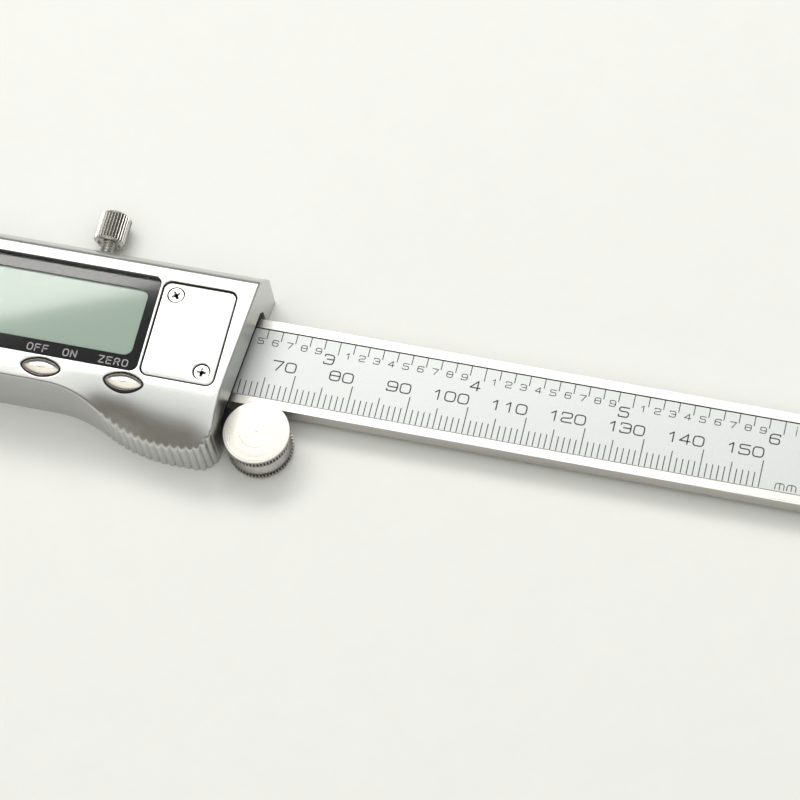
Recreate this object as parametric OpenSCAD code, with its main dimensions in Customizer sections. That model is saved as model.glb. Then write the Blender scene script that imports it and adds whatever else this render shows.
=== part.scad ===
// Digital caliper, 150 mm, metal cased.
// Row frame: +X runs along the beam away from the jaws, +Y points to the lock screw, +Z out of the display.
// The origin is on the plane the slider lies on, on the beam's centreline, below the lock screw.

/* [Beam] */
// Width of the beam
beam_w = 16; // [14:0.5:20]
// Thickness of the beam and the jaws
beam_t = 3; // [2.6:0.1:4]
// Height of the beam's back above the surface the slider lies on
beam_lift = 1.5; // [1.2:0.1:2]
// Length of the beam from the closed jaws to its free end
beam_reach = 219.5; // [180:0.5:300]
// Length of the fixed head on the other side of the jaws
head_l = 16.5; // [12:0.5:24]
// Width of the channel milled for the scale
channel_w = 12.8; // [10:0.1:13]
// Depth of that channel
channel_d = 0.8; // [0.6:0.05:1]

/* [Jaws] */
// Depth of the outside jaws below the beam
jaw_depth = 40; // [25:1:60]
// Height of the inside jaws above the beam
inside_h = 16.5; // [13:0.5:24]
// Width of an outside jaw where it leaves the beam
jaw_root = 13.5; // [10:0.5:16]
// Width of an outside jaw at its tip
jaw_tip = 3; // [2:0.5:6]

/* [Slider] */
// Distance from the closed jaws to the lock screw's axis
zero_to_lock = 31.4; // [28:0.5:40]
// Thickness of the slider from its back to the display face
slider_t = 13; // [12.4:0.1:16]
// Length of the casing beyond the lock screw, at its upper corner
case_right = 30.7; // [30:0.1:36]
// Length of the casing before the lock screw
case_left = 24.6; // [24.2:0.1:27.4]
// Half width of the casing, on the lock screw's side
case_top = 13.6; // [13.2:0.1:18]
// Half width of the casing, on the buttons' side
case_low = 14; // [13.6:0.1:18]
// How far the thumb grip swells out beyond that side
grip_out = 5.7; // [3:0.1:8]
// Wall thickness of the casing
wall = 1.3; // [1:0.1:1.8]
// Clearance between parts that slide on each other
slide_gap = 0.05; // [0.03:0.01:0.1]

/* [Display] */
// Length of the window lens
lens_l = 35.2; // [30:0.1:37]
// Width of the window lens
lens_w = 17.6; // [15:0.1:19]
// Thickness of the window lens
lens_t = 0.9; // [0.7:0.1:1.2]

/* [Buttons] */
// Length of a button
button_l = 6.4; // [5:0.1:8]
// Width of a button
button_w = 3.1; // [2.6:0.1:3.6]
// Distance between the buttons
button_pitch = 14.5; // [12:0.1:16]
// Travel of a button
button_travel = 0.5; // [0.3:0.05:0.6]

/* [Battery] */
// Diameter of the button cell
cell_d = 11.6; // [9.5:0.1:11.6]
// Height of the button cell
cell_h = 5.2; // [3.6:0.1:5.4]
// Length of the battery cover, along the slider's width
cover_l = 17.5; // [16:0.1:19]
// Width of the battery cover
cover_w = 12.6; // [12.2:0.1:14]

/* [Thumb roller] */
// Diameter of the thumb roller
roller_d = 11.4; // [9:0.1:14]
// Gap between the casing's end and the roller
roller_gap = 0.7; // [0.4:0.1:3]
// Height of the roller
roller_h = 6.95; // [6:0.05:8]

/* [Lock screw] */
// Diameter of the knurled knob
knob_d = 5.6; // [4:0.1:8]
// Length of the knurled knob
knob_l = 5.7; // [4:0.1:8]
// Diameter of the screw
screw_d = 2.4; // [2:0.1:2.6]
// Gap between the tip and the gib at rest
lock_gap = 0.3; // [0.27:0.01:0.4]

/* [Hidden] */
$fn = 64;
eps = 0.01;

// heights, from the back up
beam_z = beam_lift;
beam_top = beam_z + beam_t;
mid_z = beam_z + beam_t / 2;
back_plate_t = 0.45;
frame_z = back_plate_t + slide_gap;
board_z = beam_top + 0.4;
board_t = 1;
board_top = board_z + board_t;
case_inner_z = slider_t - wall;

// x of the closed jaws, and of both ends of the beam
zero_x = -zero_to_lock;
beam_right = zero_x + beam_reach;
beam_left = zero_x - head_l;
face_gap = 0.02;

// across the beam
beam_y = beam_w / 2;
frame_top = case_top - wall - 0.1;
frame_low = -(case_low - wall - 0.4);
gib_t = 0.9;
gib_y = beam_y + slide_gap + 0.01;
gib_outer = gib_y + gib_t;
frame_wall_y = gib_outer + 0.34;

// casing outline
end_slope = 0.077;
grip_start = -0.9;
grip_r1 = 20;
grip_r2 = 26;
grip_angle = acos(1 - grip_out / (grip_r1 + grip_r2));
corner_r = 3.6;
grip_y = -case_low - grip_out;
end_low_x = case_right - (case_top + 10) * end_slope;
arc2_x = grip_start + (grip_r1 + grip_r2) * sin(grip_angle);
arc2_y = grip_y + grip_r2;
corner_x = end_low_x - corner_r;
frame_right = end_low_x - wall - 0.4;
brow_y = 10.9;
brow_drop = 4.5;
brow_r = 1.6;
bulge_y = -11;
bulge_r = 9;

// window, battery bay and buttons, on the display face
lens_right = 13.8;
lens_left = lens_right - lens_l;
lens_mid_y = -0.4;
lens_fit = 0.12;
lens_r = 1.2;
mask_t = 0.08;
mask_band = 1.9;
mask_top_band = 1.7;
mask_low_band = 3.5;
lens_z = slider_t - 0.15 - lens_t;
mask_z = lens_z - 0.01 - mask_t;
ledge_z = mask_z - 0.02;
cover_x = 20.9;
cover_y = -0.7;
cover_t = 1;
cover_r = 1.3;
cover_screw_x = 3.95;
cover_screw_y = 6.5;
bay_r = cell_d / 2 + 0.25;
button_mid = -2.15;
button_x = [button_mid - button_pitch, button_mid, button_mid + button_pitch];
button_y = -11.5;
button_gap = 0.28;
button_proud = 0.45;
flange_t = 0.8;
flange_w = 2.4;
flange_shift = 0.55;

// small screws: [shank radius, head radius]
m16_r = 0.8;
m16_head_r = 1.45;
case_screw_top = min((frame_wall_y + frame_top) / 2 - 0.05, frame_top - 1.5);
case_screw_low = frame_low + 1.4;
case_screws = [[-20.8, case_screw_top], [25, case_screw_top], [-21.8, case_screw_low], [18.3, case_screw_low]];
pillar_r = 1.4;

// depth rod
rod_w = 3.5;
rod_t = 1.3;
rod_gap = 0.07;
groove_w = rod_w + 0.5;
rod_start = zero_x + 6;

// roller and its bracket
roller_r = roller_d / 2;
roller_x = end_low_x + roller_gap + roller_r;
roller_y = -beam_y - roller_r - slide_gap;
roller_z = 0.25;
disc_low_t = 2.05;
disc_up_t = 2.4;
hub_r = 3.4;
knurl_d = 0.28;
axle_r = 1.2;
bracket_t = 0.65;
bracket_z = beam_z + 1.8;
step_x = 20.6;
bracket_end = 28.2;
bracket_screw_x = [22.5, 26.2];
bracket_y = (frame_low - beam_y) / 2 - 0.1;

// lock screw
lock_tip_y = gib_outer + lock_gap;
pad_l = 1;
knob_y = 17.5;

function arc(cx, cy, r, from, to, n) =
    [for (i = [0:n]) let (t = from + (to - from) * i / n) [cx + r * cos(t), cy + r * sin(t)]];

// a rectangle with rounded corners, between two corners
module round_rect(x0, x1, y0, y1, r) {
    translate([x0 + r, y0]) square([x1 - x0 - 2 * r, y1 - y0]);
    translate([x0, y0 + r]) square([x1 - x0, y1 - y0 - 2 * r]);
    for (x = [x0 + r, x1 - r], y = [y0 + r, y1 - r]) translate([x, y]) circle(r);
}

module slab(x0, x1, y0, y1, z0, z1) {
    translate([x0, y0, z0]) cube([x1 - x0, y1 - y0, z1 - z0]);
}

module round_slab(x0, x1, y0, y1, z0, z1, r) {
    translate([0, 0, z0]) linear_extrude(z1 - z0) round_rect(x0, x1, y0, y1, r);
}

module rod_z(x, y, z0, z1, r) {
    translate([x, y, z0]) cylinder(h = z1 - z0, r = r);
}

// a cylinder along Y
module rod_y(x, z, y0, y1, r) {
    translate([x, y1, z]) rotate([90, 0, 0]) cylinder(h = y1 - y0, r = r);
}

// a screw with a flat head and a cross recess, its head on the +Z end of a shank that starts at z0
module cross_screw(x, y, z0, z1, r, head_r, head_h) {
    translate([x, y, 0]) difference() {
        union() {
            translate([0, 0, z0]) cylinder(h = z1 - head_h - z0, r = r);
            translate([0, 0, z1 - head_h]) cylinder(h = head_h, r = head_r);
        }
        for (a = [45, 135]) rotate([0, 0, a])
            translate([-head_r * 0.6, -head_r * 0.14, z1 - head_h * 0.6])
                cube([head_r * 1.2, head_r * 0.28, head_h]);
    }
}

// ---------------------------------------------------------------- beam

// outline of an outside jaw, with its measuring face on x = 0 and its body on the -X side
module outside_jaw_2d() {
    tip_y = -beam_y - jaw_depth;
    polygon([
        [0, -beam_y - 1.6], [0, tip_y], [-jaw_tip * 0.7, tip_y], [-jaw_tip, tip_y + 1.2],
        [-jaw_root * 0.88, -beam_y - 12], [-jaw_root, -beam_y - 5], [-jaw_root, -beam_y + 1],
        [-1, -beam_y + 1], [-1, -beam_y - 0.6]
    ]);
}

// outline of an inside jaw, with its measuring edge on x = 0, leaning over to the +X side
module inside_jaw_2d() {
    tip_y = beam_y + inside_h;
    polygon([
        [-13.2, beam_y - 0.5], [-13.2, beam_y + 1.2], [-3.4, beam_y + 5.4], [-0.6, beam_y + 5.8],
        [0, beam_y + 6.6], [0, tip_y], [0.7, tip_y], [5.4, beam_y + 5.2], [3.4, beam_y + 1],
        [0, beam_y + 0.4], [0, beam_y - 0.5]
    ]);
}

// the last stretch of a measuring face, ground away to a knife edge on both sides
module knife_edge() {
    tip_y = -beam_y - jaw_depth;
    for (side = [0, 1]) translate([0, 0, mid_z]) mirror([0, 0, side])
        translate([0, tip_y - 1, beam_t / 2]) rotate([-90, 0, 0]) linear_extrude(jaw_depth * 0.45)
            polygon([[-2.4, -1], [-2.4, 0], [0.5, beam_t * 0.34], [0.5, -1]]);
}

module beam() {
    color([0.80, 0.80, 0.78]) difference() {
        union() {
            slab(zero_x - 1, beam_right, -beam_y, beam_y, beam_z, beam_top);
            round_slab(beam_left, zero_x, -beam_y, beam_y, beam_z, beam_top, 1.5);
            translate([zero_x, 0, 0]) {
                difference() {
                    translate([0, 0, beam_z]) linear_extrude(beam_t) outside_jaw_2d();
                    knife_edge();
                }
                translate([0, 0, mid_z + slide_gap]) linear_extrude(beam_t / 2 - slide_gap) inside_jaw_2d();
                translate([0, 0, beam_z]) linear_extrude(beam_t / 2 + slide_gap) intersection() {
                    inside_jaw_2d();
                    translate([-20, beam_y - 1]) square([13.4, 20]);
                }
            }
        }
        slab(zero_x - 6, beam_right + 1, -channel_w / 2, channel_w / 2, beam_top - channel_d, beam_top + 1);
        slab(zero_x + 3, beam_right + 1, -groove_w / 2, groove_w / 2, beam_z - 1, beam_z + rod_t + 2 * rod_gap);
        for (y = [-1, 1]) rod_z(beam_right - 3.8, y * 4.4, beam_z - 1, beam_z + 1.7, m16_r + 0.02);
    }
}

module scale_circuit() {
    color([0.30, 0.45, 0.25])
        slab(zero_x - 5.9, beam_right - 0.2, -channel_w / 2 + 0.2, channel_w / 2 - 0.2,
             beam_top - channel_d + 0.02, beam_top - 0.19);
}

module scale_label() {
    color([0.84, 0.86, 0.86])
        slab(zero_x - 5.9, beam_right - 0.2, -channel_w / 2 + 0.1, channel_w / 2 - 0.2,
             beam_top - 0.18, beam_top - 0.03);
}

module end_stop() {
    color([0.72, 0.72, 0.70]) difference() {
        round_slab(beam_right - 7.3, beam_right - 0.1, -6.4, 6.4, beam_z - 0.62, beam_z - 0.02, 0.8);
        for (y = [-1, 1]) rod_z(beam_right - 3.8, y * 4.4, 0, beam_z, m16_r + 0.1);
    }
}

module end_stop_screws() {
    color([0.75, 0.75, 0.74]) for (y = [-1, 1])
        translate([0, 0, beam_z - 0.63]) mirror([0, 0, 1])
            cross_screw(beam_right - 3.8, y * 4.4, -2.1, 0.5, m16_r, m16_head_r, 0.5);
}

// ---------------------------------------------------------------- slider frame and what slides

module slider_frame() {
    x0 = zero_x + face_gap;
    x1 = frame_right;
    color([0.74, 0.74, 0.72]) difference() {
        union() {
            // channel round the beam: back wall, lower wall, upper wall
            slab(x0 + 0.5, x1, frame_low, frame_top, frame_z, beam_z - slide_gap);
            slab(x0, x1, frame_low, -beam_y - slide_gap, frame_z, board_z);
            slab(zero_x + 6.2, x1, frame_wall_y, frame_top, frame_z, board_z);
            slab(x0 + 0.5, zero_x + 6.4, beam_y + slide_gap, frame_top, frame_z, mid_z - slide_gap);
            // moving jaws
            translate([x0, 0, 0]) mirror([1, 0, 0]) {
                difference() {
                    translate([0, 0, beam_z]) linear_extrude(beam_t) intersection() {
                        outside_jaw_2d();
                        translate([-30, -beam_y - jaw_depth - 1]) square([40, jaw_depth + 1 - 0.3]);
                    }
                    knife_edge();
                }
                translate([0, 0, beam_z]) linear_extrude(beam_t / 2 - slide_gap) difference() {
                    inside_jaw_2d();
                    translate([-30, beam_y - 1]) square([60, 1 + slide_gap]);
                }
                translate([0, 0, beam_z]) linear_extrude(beam_t) intersection() {
                    inside_jaw_2d();
                    translate([-20, frame_wall_y]) square([13.8, 20]);
                }
            }
        }
        // tapped holes for the lock screw and the gib screws
        rod_y(0, mid_z, beam_y, case_top, screw_d / 2 + slide_gap);
        for (x = [-13, 15]) rod_y(x, mid_z, beam_y, case_top, 0.92);
        // clearance for the casing's screws
        for (p = case_screws) rod_z(p[0], p[1], 0, board_z + 1, m16_r + 0.12);
        // seat of the roller's bracket, and the holes for its screws
        slab(step_x - 0.2, x1 + 1, frame_low - 1, -beam_y, bracket_z, board_z + 1);
        for (x = bracket_screw_x) rod_z(x, bracket_y, frame_z + 0.4, board_z, 0.62);
        rod_z(rod_start + 1.6, 0, 0, beam_z, 0.62);
    }
}

module gib_strip() {
    color([0.78, 0.62, 0.32])
        slab(zero_x + 13.7, 23.4, gib_y, gib_outer, beam_z + 0.1, beam_top - 0.1);
}

module gib_screws() {
    color([0.35, 0.35, 0.36]) for (x = [-13, 15]) difference() {
        rod_y(x, mid_z, gib_outer + 0.02, frame_top - 0.3, 0.9);
        translate([x - 1, frame_top - 0.9, mid_z - 0.15]) cube([2, 1, 0.3]);
    }
}

module depth_rod() {
    color([0.78, 0.78, 0.76]) difference() {
        slab(rod_start, beam_right - 0.02, -rod_w / 2, rod_w / 2, beam_z + rod_gap, beam_z + rod_gap + rod_t);
        rod_z(rod_start + 1.6, 0, 0, beam_z + 5, 0.62);
        // relief at the foot, so that it reaches into corners
        translate([beam_right - 3.2, -rod_w / 2 - 1, beam_z]) rotate([0, 0, 45]) cube([2, 2, 6], center = true);
    }
}

module depth_rod_rivet() {
    color([0.7, 0.7, 0.7]) rod_z(rod_start + 1.6, 0, frame_z + 0.05, beam_z + rod_gap + rod_t - 0.05, 0.6);
}

// ---------------------------------------------------------------- casing

function casing_outline() = concat(
    [[-case_left, case_top], [-case_left, -case_low]],
    arc(grip_start, -case_low - grip_r1, grip_r1, 90, 90 - grip_angle, 8),
    arc(arc2_x, arc2_y, grip_r2, 270 - grip_angle * 0.9, 270, 9),
    arc(corner_x, grip_y + corner_r, corner_r, 270, 360, 8),
    [[end_low_x, -10], [case_right, case_top]]
);

// cross-section of the casing: sloping brow, flat face and the swell of the thumb grip
module casing_section() {
    brow_angle = atan2(brow_drop, case_top - brow_y);
    brow_c = brow_y - brow_r * tan(brow_angle / 2);
    polygon(concat(
        [[bulge_y, 0], [case_top, 0], [case_top, slider_t - brow_drop]],
        arc(brow_c, slider_t - brow_r, brow_r, 90 - brow_angle, 90, 6),
        [[bulge_y, slider_t]]
    ));
    translate([bulge_y - 10, 0]) square([10 + eps, slider_t - bulge_r]);
    intersection() {
        translate([bulge_y, slider_t - bulge_r]) circle(bulge_r);
        translate([bulge_y - 12, slider_t - bulge_r - eps]) square([12 + eps, 20]);
    }
}

// point on the grip's outline, a given length along it from where the serrations start
grip_from = grip_angle - 2.2;
grip_len2 = grip_r2 * grip_from * PI / 180;
grip_flat = corner_x - arc2_x;
function grip_point(s) =
    s < grip_len2 ? let (t = 270 - grip_from + s / grip_r2 * 180 / PI)
        [arc2_x + (grip_r2 + 0.35) * cos(t), arc2_y + (grip_r2 + 0.35) * sin(t)]
    : s < grip_len2 + grip_flat ? [arc2_x + s - grip_len2, grip_y - 0.35]
    : let (t = 270 + (s - grip_len2 - grip_flat) / corner_r * 180 / PI)
        [corner_x + (corner_r + 0.35) * cos(t), grip_y + corner_r + (corner_r + 0.35) * sin(t)];
grip_pitch = 1.42;
grip_count = 14;

module ellipse_cut(x, y, l, w, z0, z1) {
    translate([x, y, z0]) scale([l / w, 1, 1]) cylinder(h = z1 - z0, r = w / 2);
}

module cover_screw_places() {
    for (s = [-1, 1]) translate([cover_x + s * cover_screw_x, cover_y - s * cover_screw_y, 0]) children();
}

module casing() {
    color([0.72, 0.72, 0.71]) difference() {
        intersection() {
            linear_extrude(slider_t + 1) polygon(casing_outline());
            translate([-60, 0, 0]) rotate([90, 0, 90]) linear_extrude(120) casing_section();
        }
        // cavity, open at the back, with pillars left standing in it for the screws
        difference() {
            union() {
                slab(-case_left + wall, end_low_x - wall - 0.1, -case_low + wall + 0.3, case_top - wall,
                     -1, case_inner_z - 0.6);
                slab(-case_left + wall, end_low_x - wall - 0.1, -case_low + 0.6, brow_y - 0.7,
                     case_inner_z - 2.6, case_inner_z);
            }
            for (p = case_screws) rod_z(p[0], p[1], board_top + 0.02, case_inner_z + 1, pillar_r);
            cover_screw_places() rod_z(0, 0, board_top + 0.4, case_inner_z + 1, 1.35);
        }
        slab(arc2_x - 8, arc2_x + 4, grip_y + 2, -case_low, -1, 4.4);
        // window and its ledge
        round_slab(lens_left - lens_fit, lens_right + lens_fit,
                   lens_mid_y - lens_w / 2 - lens_fit, lens_mid_y + lens_w / 2 + lens_fit,
                   ledge_z, slider_t + 1, lens_r + lens_fit);
        slab(lens_left + 1.2, lens_right - 1.2, lens_mid_y - lens_w / 2 + 1.4, lens_mid_y + lens_w / 2 - 1.2,
             case_inner_z - 4, slider_t);
        // battery bay and its cover's seat
        round_slab(cover_x - cover_w / 2 - 0.13, cover_x + cover_w / 2 + 0.13,
                   cover_y - cover_l / 2 - 0.13, cover_y + cover_l / 2 + 0.13,
                   slider_t - cover_t - 0.02, slider_t + 1, cover_r + 0.13);
        rod_z(cover_x, cover_y, board_top, slider_t, bay_r);
        cover_screw_places() rod_z(0, 0, board_top, slider_t, 0.72);
        // buttons
        for (x = button_x)
            ellipse_cut(x, button_y, button_l + 2 * button_gap, button_w + 2 * button_gap,
                        case_inner_z - 1, slider_t + 1);
        // lock screw, and holes in the pillars
        rod_y(0, mid_z, case_top - wall - 1, case_top + 1, screw_d / 2 + 0.3);
        for (p = case_screws) rod_z(p[0], p[1], board_top - 1, case_inner_z - 1.2, m16_r + 0.02);
        // way through for the beam and the jaws
        slab(-case_left - 1, -case_left + wall + 1, frame_low - 0.1, frame_top + 0.1, -1, board_z + 0.1);
        slab(-case_left - 1, zero_x + jaw_root + 0.8, -case_low - 1, -case_low + wall + 2, -1, beam_top + 0.25);
        slab(-case_left - 1, zero_x + 14.4, case_top - wall - 1, case_top + 1, -1, beam_top + 0.25);
        slab(end_low_x - wall - 1, case_right + 1, frame_low - 0.9, beam_y + 1.1, -1, beam_top + 2.1);
        // serrations of the thumb grip
        for (i = [0:grip_count - 1]) let (p = grip_point(i * grip_pitch)) rod_z(p[0], p[1], -1, slider_t, 0.7);
    }
}

module back_plate() {
    color([0.78, 0.78, 0.78]) difference() {
        round_slab(-case_left + wall + 0.15, end_low_x - wall - 0.25, frame_low, frame_top, 0, back_plate_t, 0.8);
        for (p = case_screws) rod_z(p[0], p[1], -1, 1, m16_head_r + 0.1);
    }
}

module casing_screws() {
    color([0.7, 0.7, 0.7]) for (p = case_screws)
        translate([0, 0, 0.06]) mirror([0, 0, 1])
            cross_screw(p[0], p[1], -(board_top + 3), 0, m16_r, m16_head_r, frame_z - 0.08);
}

// ---------------------------------------------------------------- electronics

module circuit_board() {
    color([0.10, 0.35, 0.18]) difference() {
        slab(-case_left + wall + 0.6, end_low_x - wall - 0.8, frame_low, frame_top - 0.2, board_z + 0.01, board_top);
        for (p = case_screws) rod_z(p[0], p[1], board_z - 1, board_top + 1, m16_r + 0.2);
        slab(step_x - 0.4, end_low_x, frame_low - 1, -beam_y - 0.1, board_z - 1, board_top + 1);
    }
}

module chip_seal() {
    color([0.08, 0.08, 0.08]) translate([-4, 0.5, board_top + 0.01]) intersection() {
        cylinder(h = 1.3, r = 3.6);
        translate([0, 0, -5.2]) sphere(6.5);
    }
}

module quartz_crystal() {
    color([0.8, 0.8, 0.8]) translate([5, -3.5, board_top + 1.02]) rotate([0, 90, 0]) cylinder(h = 5, r = 1);
}

lcd_t = 1.8;
lcd_z = ledge_z - 0.35 - lcd_t;
holder_x0 = lens_left - 0.6;
holder_x1 = lens_right - 0.3;
holder_y = 8.2;

module zebra_strips() {
    color([0.85, 0.55, 0.6]) for (y = [-7.2, 5.4])
        slab(holder_x0 + 1.4, holder_x1 - 1.4, y, y + 1.8, board_top + 0.01, lcd_z - 0.01);
}

module lcd_holder() {
    color([0.9, 0.9, 0.88]) difference() {
        slab(holder_x0, holder_x1, -holder_y, holder_y, board_top + 0.01, ledge_z - 0.3);
        slab(holder_x0 + 1.1, holder_x1 - 1.1, -holder_y + 0.9, holder_y - 0.9, board_top - 1, ledge_z + 1);
    }
}

module lcd_glass() {
    color([0.70, 0.78, 0.72])
        slab(holder_x0 + 1.2, holder_x1 - 1.2, -holder_y + 1, holder_y - 1, lcd_z, lcd_z + lcd_t);
}

module window_mask() {
    color([0.08, 0.08, 0.09]) difference() {
        round_slab(lens_left, lens_right, lens_mid_y - lens_w / 2, lens_mid_y + lens_w / 2,
                   mask_z, mask_z + mask_t, lens_r);
        round_slab(lens_left + mask_band, lens_right - mask_band,
                   lens_mid_y - lens_w / 2 + mask_low_band, lens_mid_y + lens_w / 2 - mask_top_band,
                   mask_z - 1, mask_z + 1, 1.1);
    }
}

module window_lens() {
    color([0.85, 0.9, 0.88, 0.4])
        round_slab(lens_left, lens_right, lens_mid_y - lens_w / 2, lens_mid_y + lens_w / 2,
                   lens_z, lens_z + lens_t, lens_r);
}

// sheet of silicone rubber with one dome under each button
dome_top = case_inner_z - flange_t - 1.6 - button_travel;
module rubber_keypad() {
    color([0.35, 0.35, 0.36]) union() {
        slab(button_x[0] - 3, button_x[2] + 3, frame_low + 0.2, -holder_y - 0.15, board_top + 0.01, board_top + 0.7);
        for (x = button_x) rod_z(x, button_y + flange_shift + 0.6, board_top + 0.5, dome_top, 1.05);
    }
}

// a crowned oval button with a flange that keeps it in, and a stem over its dome
module button(x) {
    crown_r = 9;
    crown_z = slider_t + button_proud - crown_r;
    color([0.82, 0.78, 0.72]) union() {
        intersection() {
            ellipse_cut(x, button_y, button_l, button_w, case_inner_z - 0.2, slider_t + 2);
            translate([x, button_y, crown_z]) sphere(crown_r);
        }
        slab(x - 3.6, x + 3.6, button_y + flange_shift - flange_w / 2, button_y + flange_shift + flange_w / 2,
             case_inner_z - 0.05 - flange_t, case_inner_z - 0.05);
        rod_z(x, button_y + flange_shift + 0.2, dome_top + button_travel + 0.05, case_inner_z - 0.1, 0.95);
    }
}

module button_units() { button(button_x[0]); }
module button_power() { button(button_x[1]); }
module button_zero() { button(button_x[2]); }

// ---------------------------------------------------------------- battery

cell_z = slider_t - cover_t - 0.1 - cell_h;
module battery_cell() {
    color([0.82, 0.82, 0.82]) union() {
        rod_z(cover_x, cover_y, cell_z + 0.5, cell_z + cell_h, cell_d / 2);
        rod_z(cover_x, cover_y, cell_z, cell_z + 0.6, cell_d / 2 - 1.1);
    }
}

module battery_spring() {
    color([0.80, 0.66, 0.35]) union() {
        slab(cover_x - 4, cover_x + 4, cover_y - 1, cover_y + 1, board_top + 0.01, board_top + 0.2);
        slab(cover_x - 1.5, cover_x + 1.5, cover_y - 1, cover_y + 1, board_top + 0.15, cell_z - 0.02);
    }
}

module battery_clip() {
    clip_y = cover_y + bay_r + 0.15;
    color([0.80, 0.66, 0.35]) union() {
        slab(cover_x - 1.5, cover_x + 1.5, clip_y, clip_y + 0.25, board_top + 0.01, case_inner_z - 0.4);
        slab(cover_x - 1.5, cover_x + 1.5, clip_y, clip_y + 1.6, board_top + 0.01, board_top + 0.25);
    }
}

module battery_cover() {
    color([0.85, 0.85, 0.84]) difference() {
        round_slab(cover_x - cover_w / 2, cover_x + cover_w / 2, cover_y - cover_l / 2, cover_y + cover_l / 2,
                   slider_t - cover_t, slider_t, cover_r);
        cover_screw_places() {
            rod_z(0, 0, slider_t - 2, slider_t + 1, 0.85);
            rod_z(0, 0, slider_t - 0.55, slider_t + 1, m16_head_r + 0.1);
        }
    }
}

module battery_cover_screws() {
    color([0.8, 0.8, 0.8]) cover_screw_places()
        cross_screw(0, 0, board_top + 1.4, slider_t - 0.03, 0.7, m16_head_r, 0.5);
}

// ---------------------------------------------------------------- lock screw

// the pad keeps still while the screw turns against it, so that it doesn't scratch the gib
module lock_pad() {
    color([0.78, 0.60, 0.30]) rod_y(0, mid_z, lock_tip_y, lock_tip_y + pad_l, screw_d / 2 - 0.15);
}

module lock_screw() {
    color([0.74, 0.72, 0.68]) union() {
        rod_y(0, mid_z, lock_tip_y + pad_l + 0.02, knob_y + 0.01, screw_d / 2);
        rod_y(0, mid_z, knob_y + 0.01, knob_y + 3.6, screw_d / 2 - 0.2);
    }
}

// straight knurling, as an extruded star of shallow ribs
module knurled(r, depth, ribs, h) {
    linear_extrude(h) polygon([for (i = [0:2 * ribs - 1]) let (t = i * 180 / ribs, q = i % 2 == 0 ? r : r - depth)
        [q * cos(t), q * sin(t)]]);
}

module lock_knob() {
    r = knob_d / 2;
    color([0.78, 0.76, 0.72]) difference() {
        translate([0, knob_y + knob_l, mid_z]) rotate([90, 0, 0]) difference() {
            union() {
                cylinder(h = 0.4, r1 = r - 0.6, r2 = r - 0.25);
                translate([0, 0, 0.4]) knurled(r, 0.22, 30, knob_l - 0.8);
                translate([0, 0, knob_l - 0.4]) cylinder(h = 0.4, r1 = r - 0.25, r2 = r - 0.5);
            }
            translate([0, 0, knob_l - 0.3]) cylinder(h = 1, r = r - 0.9);
        }
        rod_y(0, mid_z, knob_y - 1, knob_y + 3.65, screw_d / 2 - 0.19);
    }
}

// ---------------------------------------------------------------- thumb roller

module roller_bracket() {
    color([0.22, 0.22, 0.23]) difference() {
        union() {
            slab(step_x, bracket_end, frame_low + 0.1, -beam_y - 0.2, bracket_z + 0.01, bracket_z + bracket_t);
            translate([0, 0, bracket_z + 0.01]) linear_extrude(bracket_t - 0.01)
                polygon([[bracket_end - eps, -beam_y - 0.9], [bracket_end - eps, frame_low + 0.1],
                         [roller_x - 0.6, roller_y - 2.4], [roller_x + 0.6, roller_y + 2.4],
                         [roller_x - 2.2, -beam_y - 1.6]]);
            rod_z(roller_x, roller_y, bracket_z + 0.01, bracket_z + bracket_t, 2.5);
        }
        rod_z(roller_x, roller_y, 0, 10, axle_r + 0.05);
        for (x = bracket_screw_x) rod_z(x, bracket_y, 0, 10, 0.7);
    }
}

module bracket_screws() {
    color([0.6, 0.6, 0.6]) for (x = bracket_screw_x)
        cross_screw(x, bracket_y, frame_z + 0.5, bracket_z + bracket_t + 0.52, 0.6, 1.15, 0.5);
}

roller_top = roller_z + roller_h;
module thumb_roller_upper() {
    color([0.82, 0.81, 0.78]) difference() {
        translate([roller_x, roller_y, 0]) union() {
            translate([0, 0, roller_top - disc_up_t]) knurled(roller_r, knurl_d, 54, disc_up_t - 0.3);
            translate([0, 0, roller_top - 0.3])
                cylinder(h = 0.3, r1 = roller_r - knurl_d - 0.02, r2 = roller_r - knurl_d - 0.2);
            translate([0, 0, bracket_z + bracket_t + 0.06])
                cylinder(h = roller_top - disc_up_t - bracket_z - bracket_t - 0.05, r = hub_r);
        }
        rod_z(roller_x, roller_y, 0, roller_top - 0.9, axle_r + 0.01);
    }
}

module thumb_roller_lower() {
    color([0.66, 0.64, 0.58]) difference() {
        translate([roller_x, roller_y, 0]) union() {
            translate([0, 0, roller_z])
                cylinder(h = 0.25, r1 = roller_r - knurl_d - 0.2, r2 = roller_r - knurl_d - 0.02);
            translate([0, 0, roller_z + 0.25]) knurled(roller_r, knurl_d, 54, disc_low_t - 0.25);
            translate([0, 0, roller_z + disc_low_t - eps]) cylinder(h = bracket_z - 0.05 - roller_z - disc_low_t, r = hub_r);
        }
        rod_z(roller_x, roller_y, 0, 10, axle_r + 0.01);
        rod_z(roller_x, roller_y, 0, roller_z + 0.8, 2.1);
    }
}

module roller_axle() {
    color([0.7, 0.7, 0.7]) translate([roller_x, roller_y, 0]) difference() {
        union() {
            translate([0, 0, roller_z + 0.1]) cylinder(h = 0.69, r = 2);
            translate([0, 0, roller_z + 0.5]) cylinder(h = roller_top - 0.95 - roller_z - 0.5, r = axle_r);
        }
        translate([-2.5, -0.25, roller_z]) cube([5, 0.5, 0.45]);
    }
}

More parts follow.
